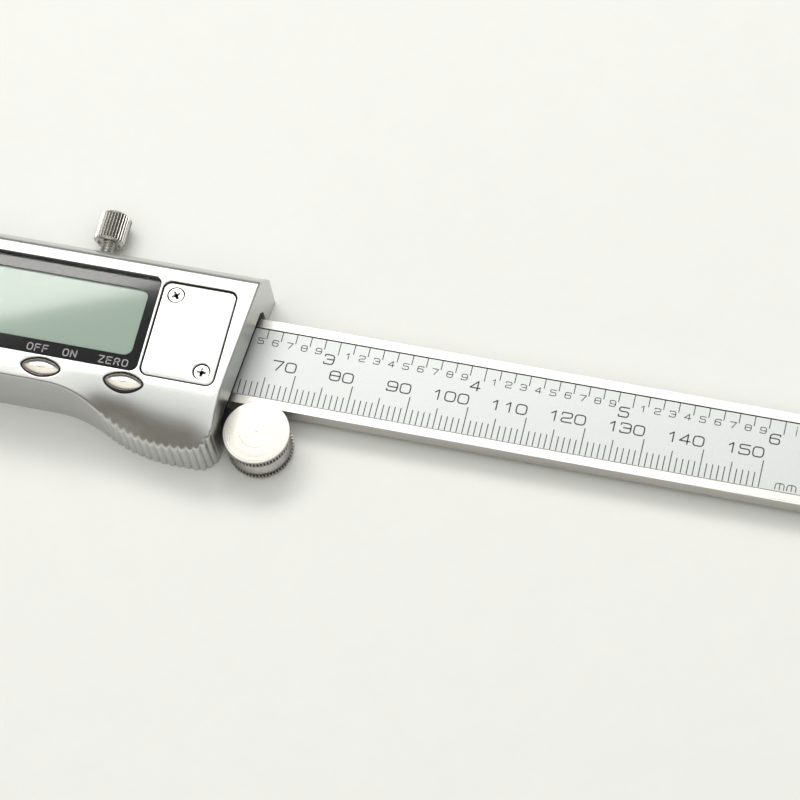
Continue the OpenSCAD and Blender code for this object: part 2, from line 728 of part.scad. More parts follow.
beam();
scale_circuit();
scale_label();
end_stop();
end_stop_screws();
slider_frame();
gib_strip();
gib_screws();
depth_rod();
depth_rod_rivet();
casing();
back_plate();
casing_screws();
circuit_board();
chip_seal();
quartz_crystal();
zebra_strips();
lcd_holder();
lcd_glass();
window_mask();
window_lens();
rubber_keypad();
button_units();
button_power();
button_zero();
battery_cell();
battery_spring();
battery_clip();
battery_cover();
battery_cover_screws();
lock_pad();
lock_screw();
lock_knob();
roller_bracket();
bracket_screws();
thumb_roller_upper();
thumb_roller_lower();
roller_axle();
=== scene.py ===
"""Finish, fine shapes and stage of a digital caliper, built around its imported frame.

Axes: +X along the beam away from the jaws, +Y towards the lock screw, +Z out of the display.
Sizes here are in millimetres unless a property says otherwise, and meshes are made in metres.
"""

import math

import bmesh
import bpy
import numpy as np
from bpy.props import FloatProperty, FloatVectorProperty, IntProperty, PointerProperty
from mathutils import Matrix, Vector
from mathutils.geometry import delaunay_2d_cdt


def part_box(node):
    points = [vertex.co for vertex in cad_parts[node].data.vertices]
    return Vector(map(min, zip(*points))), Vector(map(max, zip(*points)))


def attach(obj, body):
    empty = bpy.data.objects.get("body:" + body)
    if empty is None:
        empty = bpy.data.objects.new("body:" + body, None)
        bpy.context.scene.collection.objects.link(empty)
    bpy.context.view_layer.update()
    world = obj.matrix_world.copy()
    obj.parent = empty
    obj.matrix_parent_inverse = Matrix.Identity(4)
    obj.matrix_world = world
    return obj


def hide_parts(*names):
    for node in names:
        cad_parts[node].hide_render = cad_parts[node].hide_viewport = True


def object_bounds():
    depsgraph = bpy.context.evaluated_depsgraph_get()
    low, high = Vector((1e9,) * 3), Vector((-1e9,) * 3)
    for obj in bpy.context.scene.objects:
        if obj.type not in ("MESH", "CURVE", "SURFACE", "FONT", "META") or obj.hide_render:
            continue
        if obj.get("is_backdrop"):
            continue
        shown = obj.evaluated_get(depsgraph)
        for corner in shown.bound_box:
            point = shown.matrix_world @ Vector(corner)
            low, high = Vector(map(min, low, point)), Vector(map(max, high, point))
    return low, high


bl_info = {
    "name": "Digital caliper",
    "version": (1, 0, 0),
    "blender": (4, 5, 0),
    "location": "View3D > Sidebar > Caliper",
    "description": "Builds the finished pieces of a digital caliper around its packed frame",
    "category": "Object",
}

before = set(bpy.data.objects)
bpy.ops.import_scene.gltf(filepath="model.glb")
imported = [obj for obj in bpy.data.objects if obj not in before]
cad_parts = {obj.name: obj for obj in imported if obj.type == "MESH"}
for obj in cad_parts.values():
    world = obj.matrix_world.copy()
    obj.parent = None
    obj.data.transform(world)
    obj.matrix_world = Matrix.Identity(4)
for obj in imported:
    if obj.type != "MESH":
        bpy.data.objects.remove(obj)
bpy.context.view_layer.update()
MM = 0.001


def box(node):
    """Lowest and highest corner of a CAD node, in millimetres."""
    lo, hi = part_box(node)
    return lo / MM, hi / MM


# ---------------------------------------------------------------- sizes and colours


def length(name, about, default, **more):
    return FloatProperty(name=name, description=about, default=default, unit="LENGTH", **more)


def colour(name, about, default):
    return FloatVectorProperty(
        name=name, description=about, default=default, size=3, subtype="COLOR", min=0, max=1
    )


class CasingSizes(bpy.types.PropertyGroup):
    face_edge: length("Face edge", "Radius of the edge round the display face", 0.45 * MM)
    recess_edge: length("Recess edge", "Radius of the edge round each recess", 0.14 * MM)
    wall: length("Wall", "Wall thickness", 1.3 * MM)
    brow_width: length("Brow width", "Width of the slope on the lock screw's side", 2.7 * MM)
    brow_drop: length("Brow drop", "Fall of that slope", 4.5 * MM)
    grip_depth: length("Serration depth", "Depth of the thumb grip's serrations", 0.36 * MM)
    grip_pitch: length("Serration pitch", "Distance between serrations", 1.43 * MM)
    grip_count: IntProperty(name="Serrations", description="Serrations in the thumb grip", default=16)


class ScaleSizes(bpy.types.PropertyGroup):
    line_width: length("Line width", "Width of a graduation line", 0.17 * MM)
    inch_line_width: length("Inch line width", "Width of an inch line", 0.16 * MM)
    number_height: length("Number height", "Height of the large numbers", 1.95 * MM)
    small_height: length("Small number height", "Height of the small inch numbers", 1.2 * MM)
    stroke: length("Stroke", "Stroke width of the large numbers", 0.23 * MM)
    ink: length("Ink", "Thickness of the print", 0.006 * MM)


class TurnedSizes(bpy.types.PropertyGroup):
    knob_flutes: IntProperty(name="Knob flutes", description="Flutes round the lock knob", default=30)
    roller_teeth: IntProperty(name="Roller teeth", description="Teeth round each roller disc", default=60)
    thread_pitch: length("Thread pitch", "Pitch of the lock screw's thread", 0.5 * MM)


class Colours(bpy.types.PropertyGroup):
    casing: colour("Casing", "Satin silver metal of the casing", (0.60, 0.605, 0.59))
    steel: colour("Steel", "Ground steel of the beam and jaws", (0.60, 0.585, 0.55))
    frame_steel: colour("Frame steel", "Machined steel of the slider's frame", (0.50, 0.49, 0.475))
    nickel: colour("Nickel", "Nickel plating on the roller and screws", (0.56, 0.545, 0.51))
    film: colour("Scale film", "Background of the printed scale", (0.56, 0.575, 0.565))
    ink: colour("Ink", "Graduations and numbers", (0.035, 0.037, 0.045))
    lcd: colour("Display", "Liquid crystal panel", (0.42, 0.52, 0.44))
    mask: colour("Window mask", "Black print behind the window", (0.012, 0.012, 0.014))
    lettering: colour("Lettering", "Light print on the mask", (0.50, 0.50, 0.50))
    bronze: colour("Bronze", "Gib, contacts and springs", (0.60, 0.42, 0.18))
    floor: colour("Floor", "Pale floor", (0.83, 0.83, 0.80))


class StageSizes(bpy.types.PropertyGroup):
    lens: FloatProperty(name="Lens", description="Focal length in millimetres", default=145.52)
    softbox: FloatProperty(name="Softbox", description="Radiant strength of the softbox in watts", default=6.6)
    sky: FloatProperty(name="Sky", description="Brightness of the studio's ceiling", default=0.95)


# ---------------------------------------------------------------- node groups and materials


def node_group(name, inputs, outputs):
    """An empty shader group with named float, vector or colour sockets."""
    group = bpy.data.node_groups.new(name, "ShaderNodeTree")
    kinds = {"f": "NodeSocketFloat", "v": "NodeSocketVector", "c": "NodeSocketColor"}
    for socket, kind, default in inputs:
        made = group.interface.new_socket(name=socket, in_out="INPUT", socket_type=kinds[kind])
        if default is not None:
            made.default_value = default
    for socket, kind in outputs:
        group.interface.new_socket(name=socket, in_out="OUTPUT", socket_type=kinds[kind])
    return group, group.nodes.new("NodeGroupInput"), group.nodes.new("NodeGroupOutput")


def math_node(tree, operation, a, b=None, clamp=False):
    node = tree.nodes.new("ShaderNodeMath")
    node.operation = operation
    node.use_clamp = clamp
    for socket, value in zip(node.inputs, (a, b)):
        if value is None:
            continue
        if isinstance(value, (int, float)):
            socket.default_value = value
        else:
            tree.links.new(value, socket)
    return node.outputs[0]


def ranged(tree, value, low, high, to_low, to_high):
    node = tree.nodes.new("ShaderNodeMapRange")
    for name, number in (("From Min", low), ("From Max", high), ("To Min", to_low), ("To Max", to_high)):
        if isinstance(number, (int, float)):
            node.inputs[name].default_value = number
        else:
            tree.links.new(number, node.inputs[name])
    tree.links.new(value, node.inputs["Value"])
    return node.outputs["Result"]


def noise(tree, vector, scale, detail=3.0, roughness=0.55):
    node = tree.nodes.new("ShaderNodeTexNoise")
    node.inputs["Detail"].default_value = detail
    node.inputs["Roughness"].default_value = roughness
    if isinstance(scale, (int, float)):
        node.inputs["Scale"].default_value = scale
    else:
        tree.links.new(scale, node.inputs["Scale"])
    tree.links.new(vector, node.inputs["Vector"])
    return node.outputs["Fac"]


def grain_group():
    """Fine lines or speckle: noise that is stretched by its Stretch input."""
    group, inside, outside = node_group(
        "grain", [("Vector", "v", None), ("Stretch", "v", (1, 1, 1)), ("Scale", "f", 1000)], [("Value", "f")]
    )
    stretched = group.nodes.new("ShaderNodeVectorMath")
    stretched.operation = "MULTIPLY"
    group.links.new(inside.outputs["Vector"], stretched.inputs[0])
    group.links.new(inside.outputs["Stretch"], stretched.inputs[1])
    coarse = noise(group, stretched.outputs[0], inside.outputs["Scale"], 2.0)
    fine = noise(group, stretched.outputs[0], math_node(group, "MULTIPLY", inside.outputs["Scale"], 3.7), 2.0)
    both = math_node(group, "ADD", math_node(group, "MULTIPLY", coarse, 0.6), math_node(group, "MULTIPLY", fine, 0.4))
    group.links.new(both, outside.inputs["Value"])
    return group


def turned_group():
    """Concentric tool marks round an axis through Centre, along Z."""
    group, inside, outside = node_group(
        "turned", [("Vector", "v", None), ("Centre", "v", (0, 0, 0)), ("Scale", "f", 4000)], [("Value", "f")]
    )
    moved = group.nodes.new("ShaderNodeVectorMath")
    moved.operation = "SUBTRACT"
    group.links.new(inside.outputs["Vector"], moved.inputs[0])
    group.links.new(inside.outputs["Centre"], moved.inputs[1])
    parts = group.nodes.new("ShaderNodeSeparateXYZ")
    group.links.new(moved.outputs[0], parts.inputs[0])
    square = [math_node(group, "POWER", math_node(group, "ABSOLUTE", parts.outputs[i]), 2.0) for i in (0, 1)]
    radius = math_node(group, "SQRT", math_node(group, "ADD", *square))
    joined = group.nodes.new("ShaderNodeCombineXYZ")
    group.links.new(radius, joined.inputs[0])
    group.links.new(noise(group, joined.outputs[0], inside.outputs["Scale"], 4.0, 0.7), outside.inputs["Value"])
    return group


def smudge_group():
    """Broad soft patches, as handling leaves them: 0 where clean and 1 where dull."""
    group, inside, outside = node_group(
        "smudges", [("Vector", "v", None), ("Scale", "f", 60), ("Amount", "f", 0.5)], [("Value", "f")]
    )
    patches = noise(group, inside.outputs["Vector"], inside.outputs["Scale"], 4.0)
    mask = ranged(group, patches, 0.42, 0.68, 0.0, inside.outputs["Amount"])
    group.links.new(mask, outside.inputs["Value"])
    return group


GROUPS = {"grain": grain_group(), "turned": turned_group(), "smudges": smudge_group()}


def use_group(tree, name, vector, **values):
    node = tree.nodes.new("ShaderNodeGroup")
    node.node_tree = GROUPS[name]
    tree.links.new(vector, node.inputs["Vector"])
    for socket, value in values.items():
        node.inputs[socket].default_value = value
    return node.outputs["Value"]


def finish_material(
    name,
    base,
    metallic=0.0,
    roughness=(0.3, 0.5),
    stretch=(1, 1, 1),
    scale=1500,
    tone=0.12,
    bump=0.1,
    smudge=(60, 0.5),
    centre=None,
    coat=0.0,
    alpha=1.0,
    specular=0.5,
):
    """A Principled material whose colour, roughness and height follow a grain and soft smudges."""
    material = bpy.data.materials.new(name)
    material.use_nodes = True
    tree = material.node_tree
    shader = tree.nodes["Principled BSDF"]
    place = tree.nodes.new("ShaderNodeTexCoord").outputs["Object"]
    if centre is None:
        grain = use_group(tree, "grain", place, Stretch=stretch, Scale=scale)
    else:
        grain = use_group(tree, "turned", place, Centre=centre, Scale=scale)
    patches = use_group(tree, "smudges", place, Scale=smudge[0], Amount=smudge[1])

    mix = tree.nodes.new("ShaderNodeMix")
    mix.data_type = "RGBA"
    darker = [max(0.0, c * (1 - tone)) for c in base]
    lighter = [min(1.0, c * (1 + tone * 0.6)) for c in base]
    mix.inputs["A"].default_value = (*darker, 1)
    mix.inputs["B"].default_value = (*lighter, 1)
    tree.links.new(ranged(tree, grain, 0.35, 0.65, 0.0, 1.0), mix.inputs["Factor"])
    tree.links.new(mix.outputs["Result"], shader.inputs["Base Color"])

    low, high = roughness
    rough = ranged(tree, grain, 0.3, 0.7, low, high)
    rough = math_node(tree, "ADD", rough, math_node(tree, "MULTIPLY", patches, 0.5 * (high - low) + 0.03), clamp=True)
    tree.links.new(rough, shader.inputs["Roughness"])

    if bump:
        height = tree.nodes.new("ShaderNodeBump")
        height.inputs["Strength"].default_value = bump
        height.inputs["Distance"].default_value = 0.00005
        tree.links.new(grain, height.inputs["Height"])
        tree.links.new(height.outputs["Normal"], shader.inputs["Normal"])
    shader.inputs["Metallic"].default_value = metallic
    shader.inputs["Specular IOR Level"].default_value = specular
    if coat:
        shader.inputs["Coat Weight"].default_value = coat
        shader.inputs["Coat Roughness"].default_value = 0.045
        shader.inputs["Coat IOR"].default_value = 1.8
    if alpha < 1:
        shader.inputs["Alpha"].default_value = alpha
    return material


# ---------------------------------------------------------------- plane curves


def arc(centre, radius, start, end, steps):
    """Points on an arc, angles in degrees."""
    return [
        (
            centre[0] + radius * math.cos(math.radians(start + (end - start) * i / steps)),
            centre[1] + radius * math.sin(math.radians(start + (end - start) * i / steps)),
        )
        for i in range(steps + 1)
    ]


def round_rect(x0, x1, y0, y1, r, steps=8):
    """A rectangle with rounded corners, anticlockwise."""
    return (
        arc((x1 - r, y0 + r), r, -90, 0, steps)
        + arc((x1 - r, y1 - r), r, 0, 90, steps)
        + arc((x0 + r, y1 - r), r, 90, 180, steps)
        + arc((x0 + r, y0 + r), r, 180, 270, steps)
    )


def eye(x, y, a, b, power=1.75, steps=72):
    """A closed oval with slightly pointed ends."""
    points = []
    for i in range(steps):
        t = 2 * math.pi * i / steps
        c, s = math.cos(t), math.sin(t)
        points.append(
            (x + a * math.copysign(abs(c) ** (2 / power), c), y + b * math.copysign(abs(s) ** (2 / power), s))
        )
    return points


def inset(loop, distance):
    """An anticlockwise closed curve moved inwards, with mitred corners."""
    p = np.array(loop, float)
    before, after = np.roll(p, 1, 0), np.roll(p, -1, 0)

    def side(v):
        v = v / np.maximum(np.linalg.norm(v, axis=1, keepdims=True), 1e-9)
        return np.c_[-v[:, 1], v[:, 0]]

    n1, n2 = side(p - before), side(after - p)
    n = n1 + n2
    n = n / np.maximum(np.linalg.norm(n, axis=1, keepdims=True), 1e-9)
    stretch = np.clip((n * n1).sum(1, keepdims=True), 0.35, 1)
    return p + n * distance / stretch


def holds(loop, points):
    """Which points lie inside a closed curve."""
    x, y = points[:, 0], points[:, 1]
    inside = np.zeros(len(points), bool)
    for (xa, ya), (xb, yb) in zip(loop, np.roll(loop, -1, 0)):
        crosses = (ya > y) != (yb > y)
        inside ^= crosses & (x < (xb - xa) * (y - ya) / (yb - ya + 1e-30) + xa)
    return inside


# ---------------------------------------------------------------- meshes


def add_piece(name, verts, faces, material, body, slot, smooth=True, weighted=True):
    """A mesh piece at the origin, from points in millimetres, that rides on a body."""
    mesh = bpy.data.meshes.new(name)
    mesh.from_pydata([tuple(np.array(v) * MM) for v in verts], [], [tuple(f) for f in faces])
    mesh.validate()
    return finish_piece(name, mesh, material, body, slot, smooth, weighted)


def finish_piece(name, mesh, material, body, slot, smooth=True, weighted=True, angle=35):
    """Cleans a mesh, turns its faces outwards, shades it and makes it a riding piece."""
    work = bmesh.new()
    work.from_mesh(mesh)
    bmesh.ops.remove_doubles(work, verts=work.verts, dist=1e-7)
    bmesh.ops.recalc_face_normals(work, faces=work.faces)
    for edge in work.edges:
        sharp = len(edge.link_faces) == 2 and edge.calc_face_angle(0) > math.radians(angle)
        edge.smooth = not sharp
    for face in work.faces:
        face.smooth = smooth
    work.to_mesh(mesh)
    work.free()
    mesh.materials.clear()
    mesh.materials.append(material)
    piece = bpy.data.objects.new(name, mesh)
    bpy.context.scene.collection.objects.link(piece)
    if weighted:
        settled(piece, ("WEIGHTED_NORMAL", {"keep_sharp": True, "weight": 80}))
    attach(piece, body)
    return piece


def settled(piece, *modifiers):
    """Gives a piece modifiers and keeps their result as its plain mesh."""
    for kind, values in modifiers:
        modifier = piece.modifiers.new(kind.lower(), kind)
        for key, value in values.items():
            setattr(modifier, key, value)
    bpy.context.view_layer.update()
    graph = bpy.context.evaluated_depsgraph_get()
    mesh = bpy.data.meshes.new_from_object(piece.evaluated_get(graph), depsgraph=graph)
    piece.modifiers.clear()
    old, piece.data = piece.data, mesh
    mesh.name = piece.name
    bpy.data.meshes.remove(old)
    return piece


def rings_between(lower, upper):
    """Quads between two rings of point numbers of the same length."""
    n = len(lower)
    return [(lower[i], lower[(i + 1) % n], upper[(i + 1) % n], upper[i]) for i in range(n)]


def lathe(profile, axis_at, along="Z", steps=72, closed_ends=True):
    """Turns a profile of (radius, height) points round an axis, and returns points and faces."""
    verts, faces, rings = [], [], []
    for radius, height in profile:
        ring = []
        for i in range(steps):
            t = 2 * math.pi * i / steps
            a, b = radius * math.cos(t), radius * math.sin(t)
            if along == "Z":
                point = (axis_at[0] + a, axis_at[1] + b, axis_at[2] + height)
            else:
                point = (axis_at[0] + b, axis_at[1] + height, axis_at[2] + a)
            ring.append(len(verts))
            verts.append(point)
        rings.append(ring)
    for lower, upper in zip(rings, rings[1:]):
        faces += rings_between(lower, upper)
    if closed_ends:
        faces += [tuple(reversed(rings[0])), tuple(rings[-1])]
    return verts, faces


def joined(*meshes):
    """Several (points, faces) pairs as one."""
    verts, faces = [], []
    for v, f in meshes:
        start = len(verts)
        verts += list(v)
        faces += [tuple(i + start for i in face) for face in f]
    return verts, faces


def spanned(outer, holes, extra=()):
    """Triangles between an outer curve and its holes. The curves are lists of rings, edge first.
    Returns the plane points, the triangles and, for each curve, its edge ring's point numbers."""
    points, edges, owners = [], [], []
    for rings in [outer] + list(holes):
        numbers = []
        for ring in rings:
            start = len(points)
            points += [tuple(p) for p in ring]
            count = len(ring)
            edges += [(start + i, start + (i + 1) % count) for i in range(count)]
            numbers.append(list(range(start, start + count)))
        owners.append(numbers)
    points += [tuple(p) for p in extra]
    out, _, triangles, origins, _, _ = delaunay_2d_cdt([Vector(p) for p in points], edges, [], 0, 1e-7)
    where = {}
    for new, olds in enumerate(origins):
        for old in olds:
            where[old] = new
    flat = np.array([(v.x, v.y) for v in out])
    triangles = np.array(triangles)
    middle = flat[triangles].mean(1)
    keep = holds(np.array(outer[0]), middle)
    for rings in holes:
        keep &= ~holds(np.array(rings[0]), middle)
    numbered = [[[where[i] for i in ring] for ring in rings] for rings in owners]
    return flat, triangles[keep], numbered


def edge_rings(loop, radius, outwards=False, steps=5):
    """Rings from a curve's edge inwards over a rounded edge, each with its fall from the face."""
    sign = -1 if outwards else 1
    rings, falls = [], []
    for k in range(steps + 1):
        t = math.pi / 2 * k / steps
        rings.append(inset(loop, sign * radius * (1 - math.cos(t))))
        falls.append(radius * (1 - math.sin(t)))
    return rings, falls


def plate(outline, top, bottom, radius, holes=(), hole_radius=0.01, crown=None, grid=()):
    """A flat piece with a rounded upper edge and straight holes. Returns points and faces.
    The crown is a height added over the plan, carried by the extra points of the grid."""
    outer, falls = edge_rings(outline, radius)
    hole_rings = [edge_rings(h, hole_radius, outwards=True, steps=3) for h in holes]
    flat, triangles, numbers = spanned(outer, [r for r, _ in hole_rings], grid)
    height = np.full(len(flat), float(top))
    if crown is not None:
        height += crown(flat)
    for rings, fall in [(numbers[0], falls)] + [(n, f) for n, (_, f) in zip(numbers[1:], hole_rings)]:
        for ring, drop_by in zip(rings, fall):
            height[ring] -= drop_by
    verts = [(x, y, z) for (x, y), z in zip(flat, height)]
    faces = [tuple(t) for t in triangles.tolist()]
    loops = []
    for rings in numbers:
        start = len(verts)
        verts += [(flat[i][0], flat[i][1], bottom) for i in rings[0]]
        faces += rings_between(list(range(start, start + len(rings[0]))), rings[0])
        loops.append([tuple(flat[i]) for i in rings[0]])
    base, base_triangles, _ = spanned([loops[0]], [[r] for r in loops[1:]])
    start = len(verts)
    verts += [(x, y, bottom) for x, y in base]
    faces += [tuple(start + i for i in reversed(t)) for t in base_triangles.tolist()]
    return verts, faces


def bevelled_copy(name, node, material, body, slot, width=0.12, angle=30, segments=2, **more):
    """A clean copy of a CAD node with its edges rounded, which stands for that node."""
    work = bmesh.new()
    work.from_mesh(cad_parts[node].data)
    bmesh.ops.remove_doubles(work, verts=work.verts, dist=1e-6)
    bmesh.ops.dissolve_limit(
        work, angle_limit=math.radians(1.0), use_dissolve_boundaries=False, verts=work.verts, edges=work.edges
    )
    mesh = bpy.data.meshes.new(name)
    work.to_mesh(mesh)
    work.free()
    piece = bpy.data.objects.new(name, mesh)
    bpy.context.scene.collection.objects.link(piece)
    if width:
        settled(
            piece,
            (
                "BEVEL",
                {
                    "width": width * MM,
                    "segments": segments,
                    "limit_method": "ANGLE",
                    "angle_limit": math.radians(angle),
                    "miter_outer": "MITER_ARC",
                    "use_clamp_overlap": True,
                },
            ),
        )
    mesh = piece.data.copy()
    bpy.data.objects.remove(piece)
    made = finish_piece(name, mesh, material, body, slot, **more)
    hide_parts(node)
    return made


# ---------------------------------------------------------------- repeated shapes


def geometry_tree(name, inputs):
    """A Geometry Nodes tree with named inputs, and a helper that links or sets sockets."""
    tree = bpy.data.node_groups.new(name, "GeometryNodeTree")
    kinds = {
        "f": "NodeSocketFloat",
        "i": "NodeSocketInt",
        "v": "NodeSocketVector",
        "o": "NodeSocketObject",
        "m": "NodeSocketMaterial",
    }
    tree.interface.new_socket(name="Geometry", in_out="INPUT", socket_type="NodeSocketGeometry")
    for socket, kind in inputs:
        tree.interface.new_socket(name=socket, in_out="INPUT", socket_type=kinds[kind])
    tree.interface.new_socket(name="Geometry", in_out="OUTPUT", socket_type="NodeSocketGeometry")
    inside = tree.nodes.new("NodeGroupInput")
    outside = tree.nodes.new("NodeGroupOutput")

    def add(kind, settings=None, **values):
        node = tree.nodes.new(kind)
        for key, value in (settings or {}).items():
            setattr(node, key, value)
        for key, value in values.items():
            socket = node.inputs[int(key[1:])] if key[0] == "_" else node.inputs[key.replace("_", " ")]
            if isinstance(value, bpy.types.NodeSocket):
                tree.links.new(value, socket)
            else:
                socket.default_value = value
        return node

    def close(geometry):
        whole = add("GeometryNodeRealizeInstances", Geometry=geometry)
        painted = add("GeometryNodeSetMaterial", Geometry=whole.outputs[0], Material=inside.outputs["Material"])
        tree.links.new(painted.outputs[0], outside.inputs[0])

    def calc(operation, a, b=0.0, c=0.0):
        return add("ShaderNodeMath", {"operation": operation}, _0=a, _1=b, _2=c).outputs[0]

    return tree, inside.outputs, add, calc, close


def graduation_tree():
    """A row of upright bars in three lengths, as on a scale."""
    tree, given, add, calc, close = geometry_tree(
        "graduations",
        [
            ("Count", "i"), ("Pitch", "f"), ("Start", "f"), ("Base line", "f"), ("Direction", "f"),
            ("Height", "f"), ("Short", "f"), ("Middle", "f"), ("Long", "f"), ("Middle every", "f"),
            ("Long every", "f"), ("Width", "f"), ("Thickness", "f"), ("Material", "m"),
        ],
    )  # fmt: skip
    number = add("GeometryNodeInputIndex").outputs[0]

    def falls_on(step):
        left = calc("FLOORED_MODULO", calc("ADD", number, 0.5), step)
        return calc("LESS_THAN", left, 1.0)

    def choose(flag, yes, no):
        return calc("ADD", calc("MULTIPLY", flag, yes), calc("MULTIPLY", calc("SUBTRACT", 1.0, flag), no))

    medium = choose(falls_on(given["Middle every"]), given["Middle"], given["Short"])
    tall = choose(falls_on(given["Long every"]), given["Long"], medium)
    middle = calc("MULTIPLY_ADD", calc("MULTIPLY", tall, 0.5), given["Direction"], given["Base line"])
    place = add(
        "ShaderNodeCombineXYZ",
        X=calc("MULTIPLY_ADD", number, given["Pitch"], given["Start"]),
        Y=middle,
        Z=given["Height"],
    )
    row = add("GeometryNodePoints", Count=given["Count"], Position=place.outputs[0])
    bar = add("GeometryNodeMeshCube", Size=(1, 1, 1))
    size = add("ShaderNodeCombineXYZ", X=given["Width"], Y=tall, Z=given["Thickness"])
    bars = add(
        "GeometryNodeInstanceOnPoints", Points=row.outputs[0], Instance=bar.outputs["Mesh"], Scale=size.outputs[0]
    )
    close(bars.outputs[0])
    return tree


def ring_tree():
    """Copies of a template set evenly round an axis through Centre."""
    tree, given, add, calc, close = geometry_tree(
        "ring_of_copies",
        [("Count", "i"), ("Centre", "v"), ("Axis turn", "v"), ("Template", "o"), ("Material", "m")],
    )
    number = add("GeometryNodeInputIndex").outputs[0]
    turn = calc("MULTIPLY", number, calc("DIVIDE", 2 * math.pi, given["Count"]))
    spin = add("ShaderNodeCombineXYZ", Z=turn)
    row = add("GeometryNodePoints", Count=given["Count"])
    shape = add("GeometryNodeObjectInfo", Object=given["Template"])
    copies = add(
        "GeometryNodeInstanceOnPoints",
        Points=row.outputs[0],
        Instance=shape.outputs["Geometry"],
        Rotation=spin.outputs[0],
    )
    whole = add("GeometryNodeRealizeInstances", Geometry=copies.outputs[0])
    moved = add(
        "GeometryNodeTransform",
        Geometry=whole.outputs[0],
        Translation=given["Centre"],
        Rotation=given["Axis turn"],
    )
    close(moved.outputs[0])
    return tree


def spread_tree():
    """Copies of a template on the points of the object's own mesh, each turned a little more."""
    tree, given, add, calc, close = geometry_tree(
        "spread_copies", [("Turn step", "f"), ("Flip", "v"), ("Template", "o"), ("Material", "m")]
    )
    number = add("GeometryNodeInputIndex").outputs[0]
    spin = add("ShaderNodeCombineXYZ", Z=calc("MULTIPLY", number, given["Turn step"]))
    both = add("ShaderNodeVectorMath", {"operation": "ADD"}, _0=spin.outputs[0], _1=given["Flip"])
    shape = add("GeometryNodeObjectInfo", Object=given["Template"])
    copies = add(
        "GeometryNodeInstanceOnPoints",
        Points=given["Geometry"],
        Instance=shape.outputs["Geometry"],
        Rotation=both.outputs[0],
    )
    close(copies.outputs[0])
    return tree


TREES = {}  # one tree of each kind, made when first used


def grown(name, make_tree, points, material, **values):
    """Runs a Geometry Nodes tree and returns the result as (points in mm, faces)."""
    if make_tree not in TREES:
        TREES[make_tree] = make_tree()
    tree = TREES[make_tree]
    mesh = bpy.data.meshes.new(name)
    mesh.from_pydata([tuple(np.array(p) * MM) for p in points], [], [])
    carrier = bpy.data.objects.new(name, mesh)
    bpy.context.scene.collection.objects.link(carrier)
    modifier = carrier.modifiers.new(name, "NODES")
    modifier.node_group = tree
    sockets = {i.name: i.identifier for i in tree.interface.items_tree if i.in_out == "INPUT"}
    modifier[sockets["Material"]] = material
    for key, value in values.items():
        modifier[sockets[key.replace("_", " ")]] = value
    bpy.context.view_layer.update()
    graph = bpy.context.evaluated_depsgraph_get()
    result = bpy.data.meshes.new_from_object(carrier.evaluated_get(graph), depsgraph=graph)
    shape = ([tuple(v.co / MM) for v in result.vertices], [tuple(p.vertices) for p in result.polygons])
    bpy.data.objects.remove(carrier)
    bpy.data.meshes.remove(result)
    return shape


def template(name, verts, faces):
    """A hidden shape in millimetres for a tree to copy."""
    mesh = bpy.data.meshes.new(name)
    mesh.from_pydata([tuple(np.array(v) * MM) for v in verts], [], [tuple(f) for f in faces])
    shape = bpy.data.objects.new(name, mesh)
    bpy.context.scene.collection.objects.link(shape)
    return shape


def drop(shape):
    bpy.data.objects.remove(shape)


# ---------------------------------------------------------------- lettering

# Each sign is strokes through points in a unit box, drawn with rounded bends.
SIGNS = {
    "0": [[(0, 0), (1, 0), (1, 1), (0, 1), "closed"]],
    "1": [[(0.3, 0.74), (0.66, 1), (0.66, 0)]],
    "2": [[(0, 0.8), (0, 1), (1, 1), (1, 0.52), (0, 0.38), (0, 0), (1, 0)]],
    "3": [[(0, 0.84), (0, 1), (1, 1), (1, 0), (0, 0), (0, 0.16)], [(0.3, 0.52), (1, 0.52)]],
    "4": [[(0.76, 0), (0.76, 1), (0, 0.27), (1, 0.27)]],
    "5": [[(0.96, 1), (0, 1), (0, 0.57), (1, 0.57), (1, 0), (0, 0), (0, 0.16)]],
    "6": [[(1, 0.86), (1, 1), (0, 1), (0, 0), (1, 0), (1, 0.56), (0, 0.56)]],
    "7": [[(0, 1), (1, 1), (0.4, 0)]],
    "8": [[(0, 0), (1, 0), (1, 1), (0, 1), "closed"], [(0, 0.52), (1, 0.52)]],
    "9": [[(0, 0.14), (0, 0), (1, 0), (1, 1), (0, 1), (0, 0.44), (1, 0.44)]],
    "m": [[(0, 0), (0, 0.7), (1, 0.7), (1, 0)], [(0.5, 0), (0.5, 0.7)]],
    "i": [[(0.5, 0), (0.5, 0.7)], [(0.5, 0.9), (0.5, 1.0)]],
    "n": [[(0.1, 0), (0.1, 0.7), (0.9, 0.7), (0.9, 0)]],
    "/": [[(0.2, -0.1), (0.8, 1.1)]],
    "O": [[(0, 0), (1, 0), (1, 1), (0, 1), "closed"]],
    "F": [[(0, 0), (0, 1), (0.85, 1)], [(0, 0.52), (0.75, 0.52)]],
    "N": [[(0, 0), (0, 1), (1, 0), (1, 1)]],
    "Z": [[(0, 1), (1, 1), (0, 0), (1, 0)]],
    "E": [[(0.9, 1), (0, 1), (0, 0), (0.9, 0)], [(0, 0.52), (0.8, 0.52)]],
    "R": [[(0, 0), (0, 1), (0.92, 1), (0.92, 0.5), (0, 0.5)], [(0.5, 0.5), (0.95, 0)]],
}
SHARP = {"N", "Z", "E", "F", "7", "4", "1"}


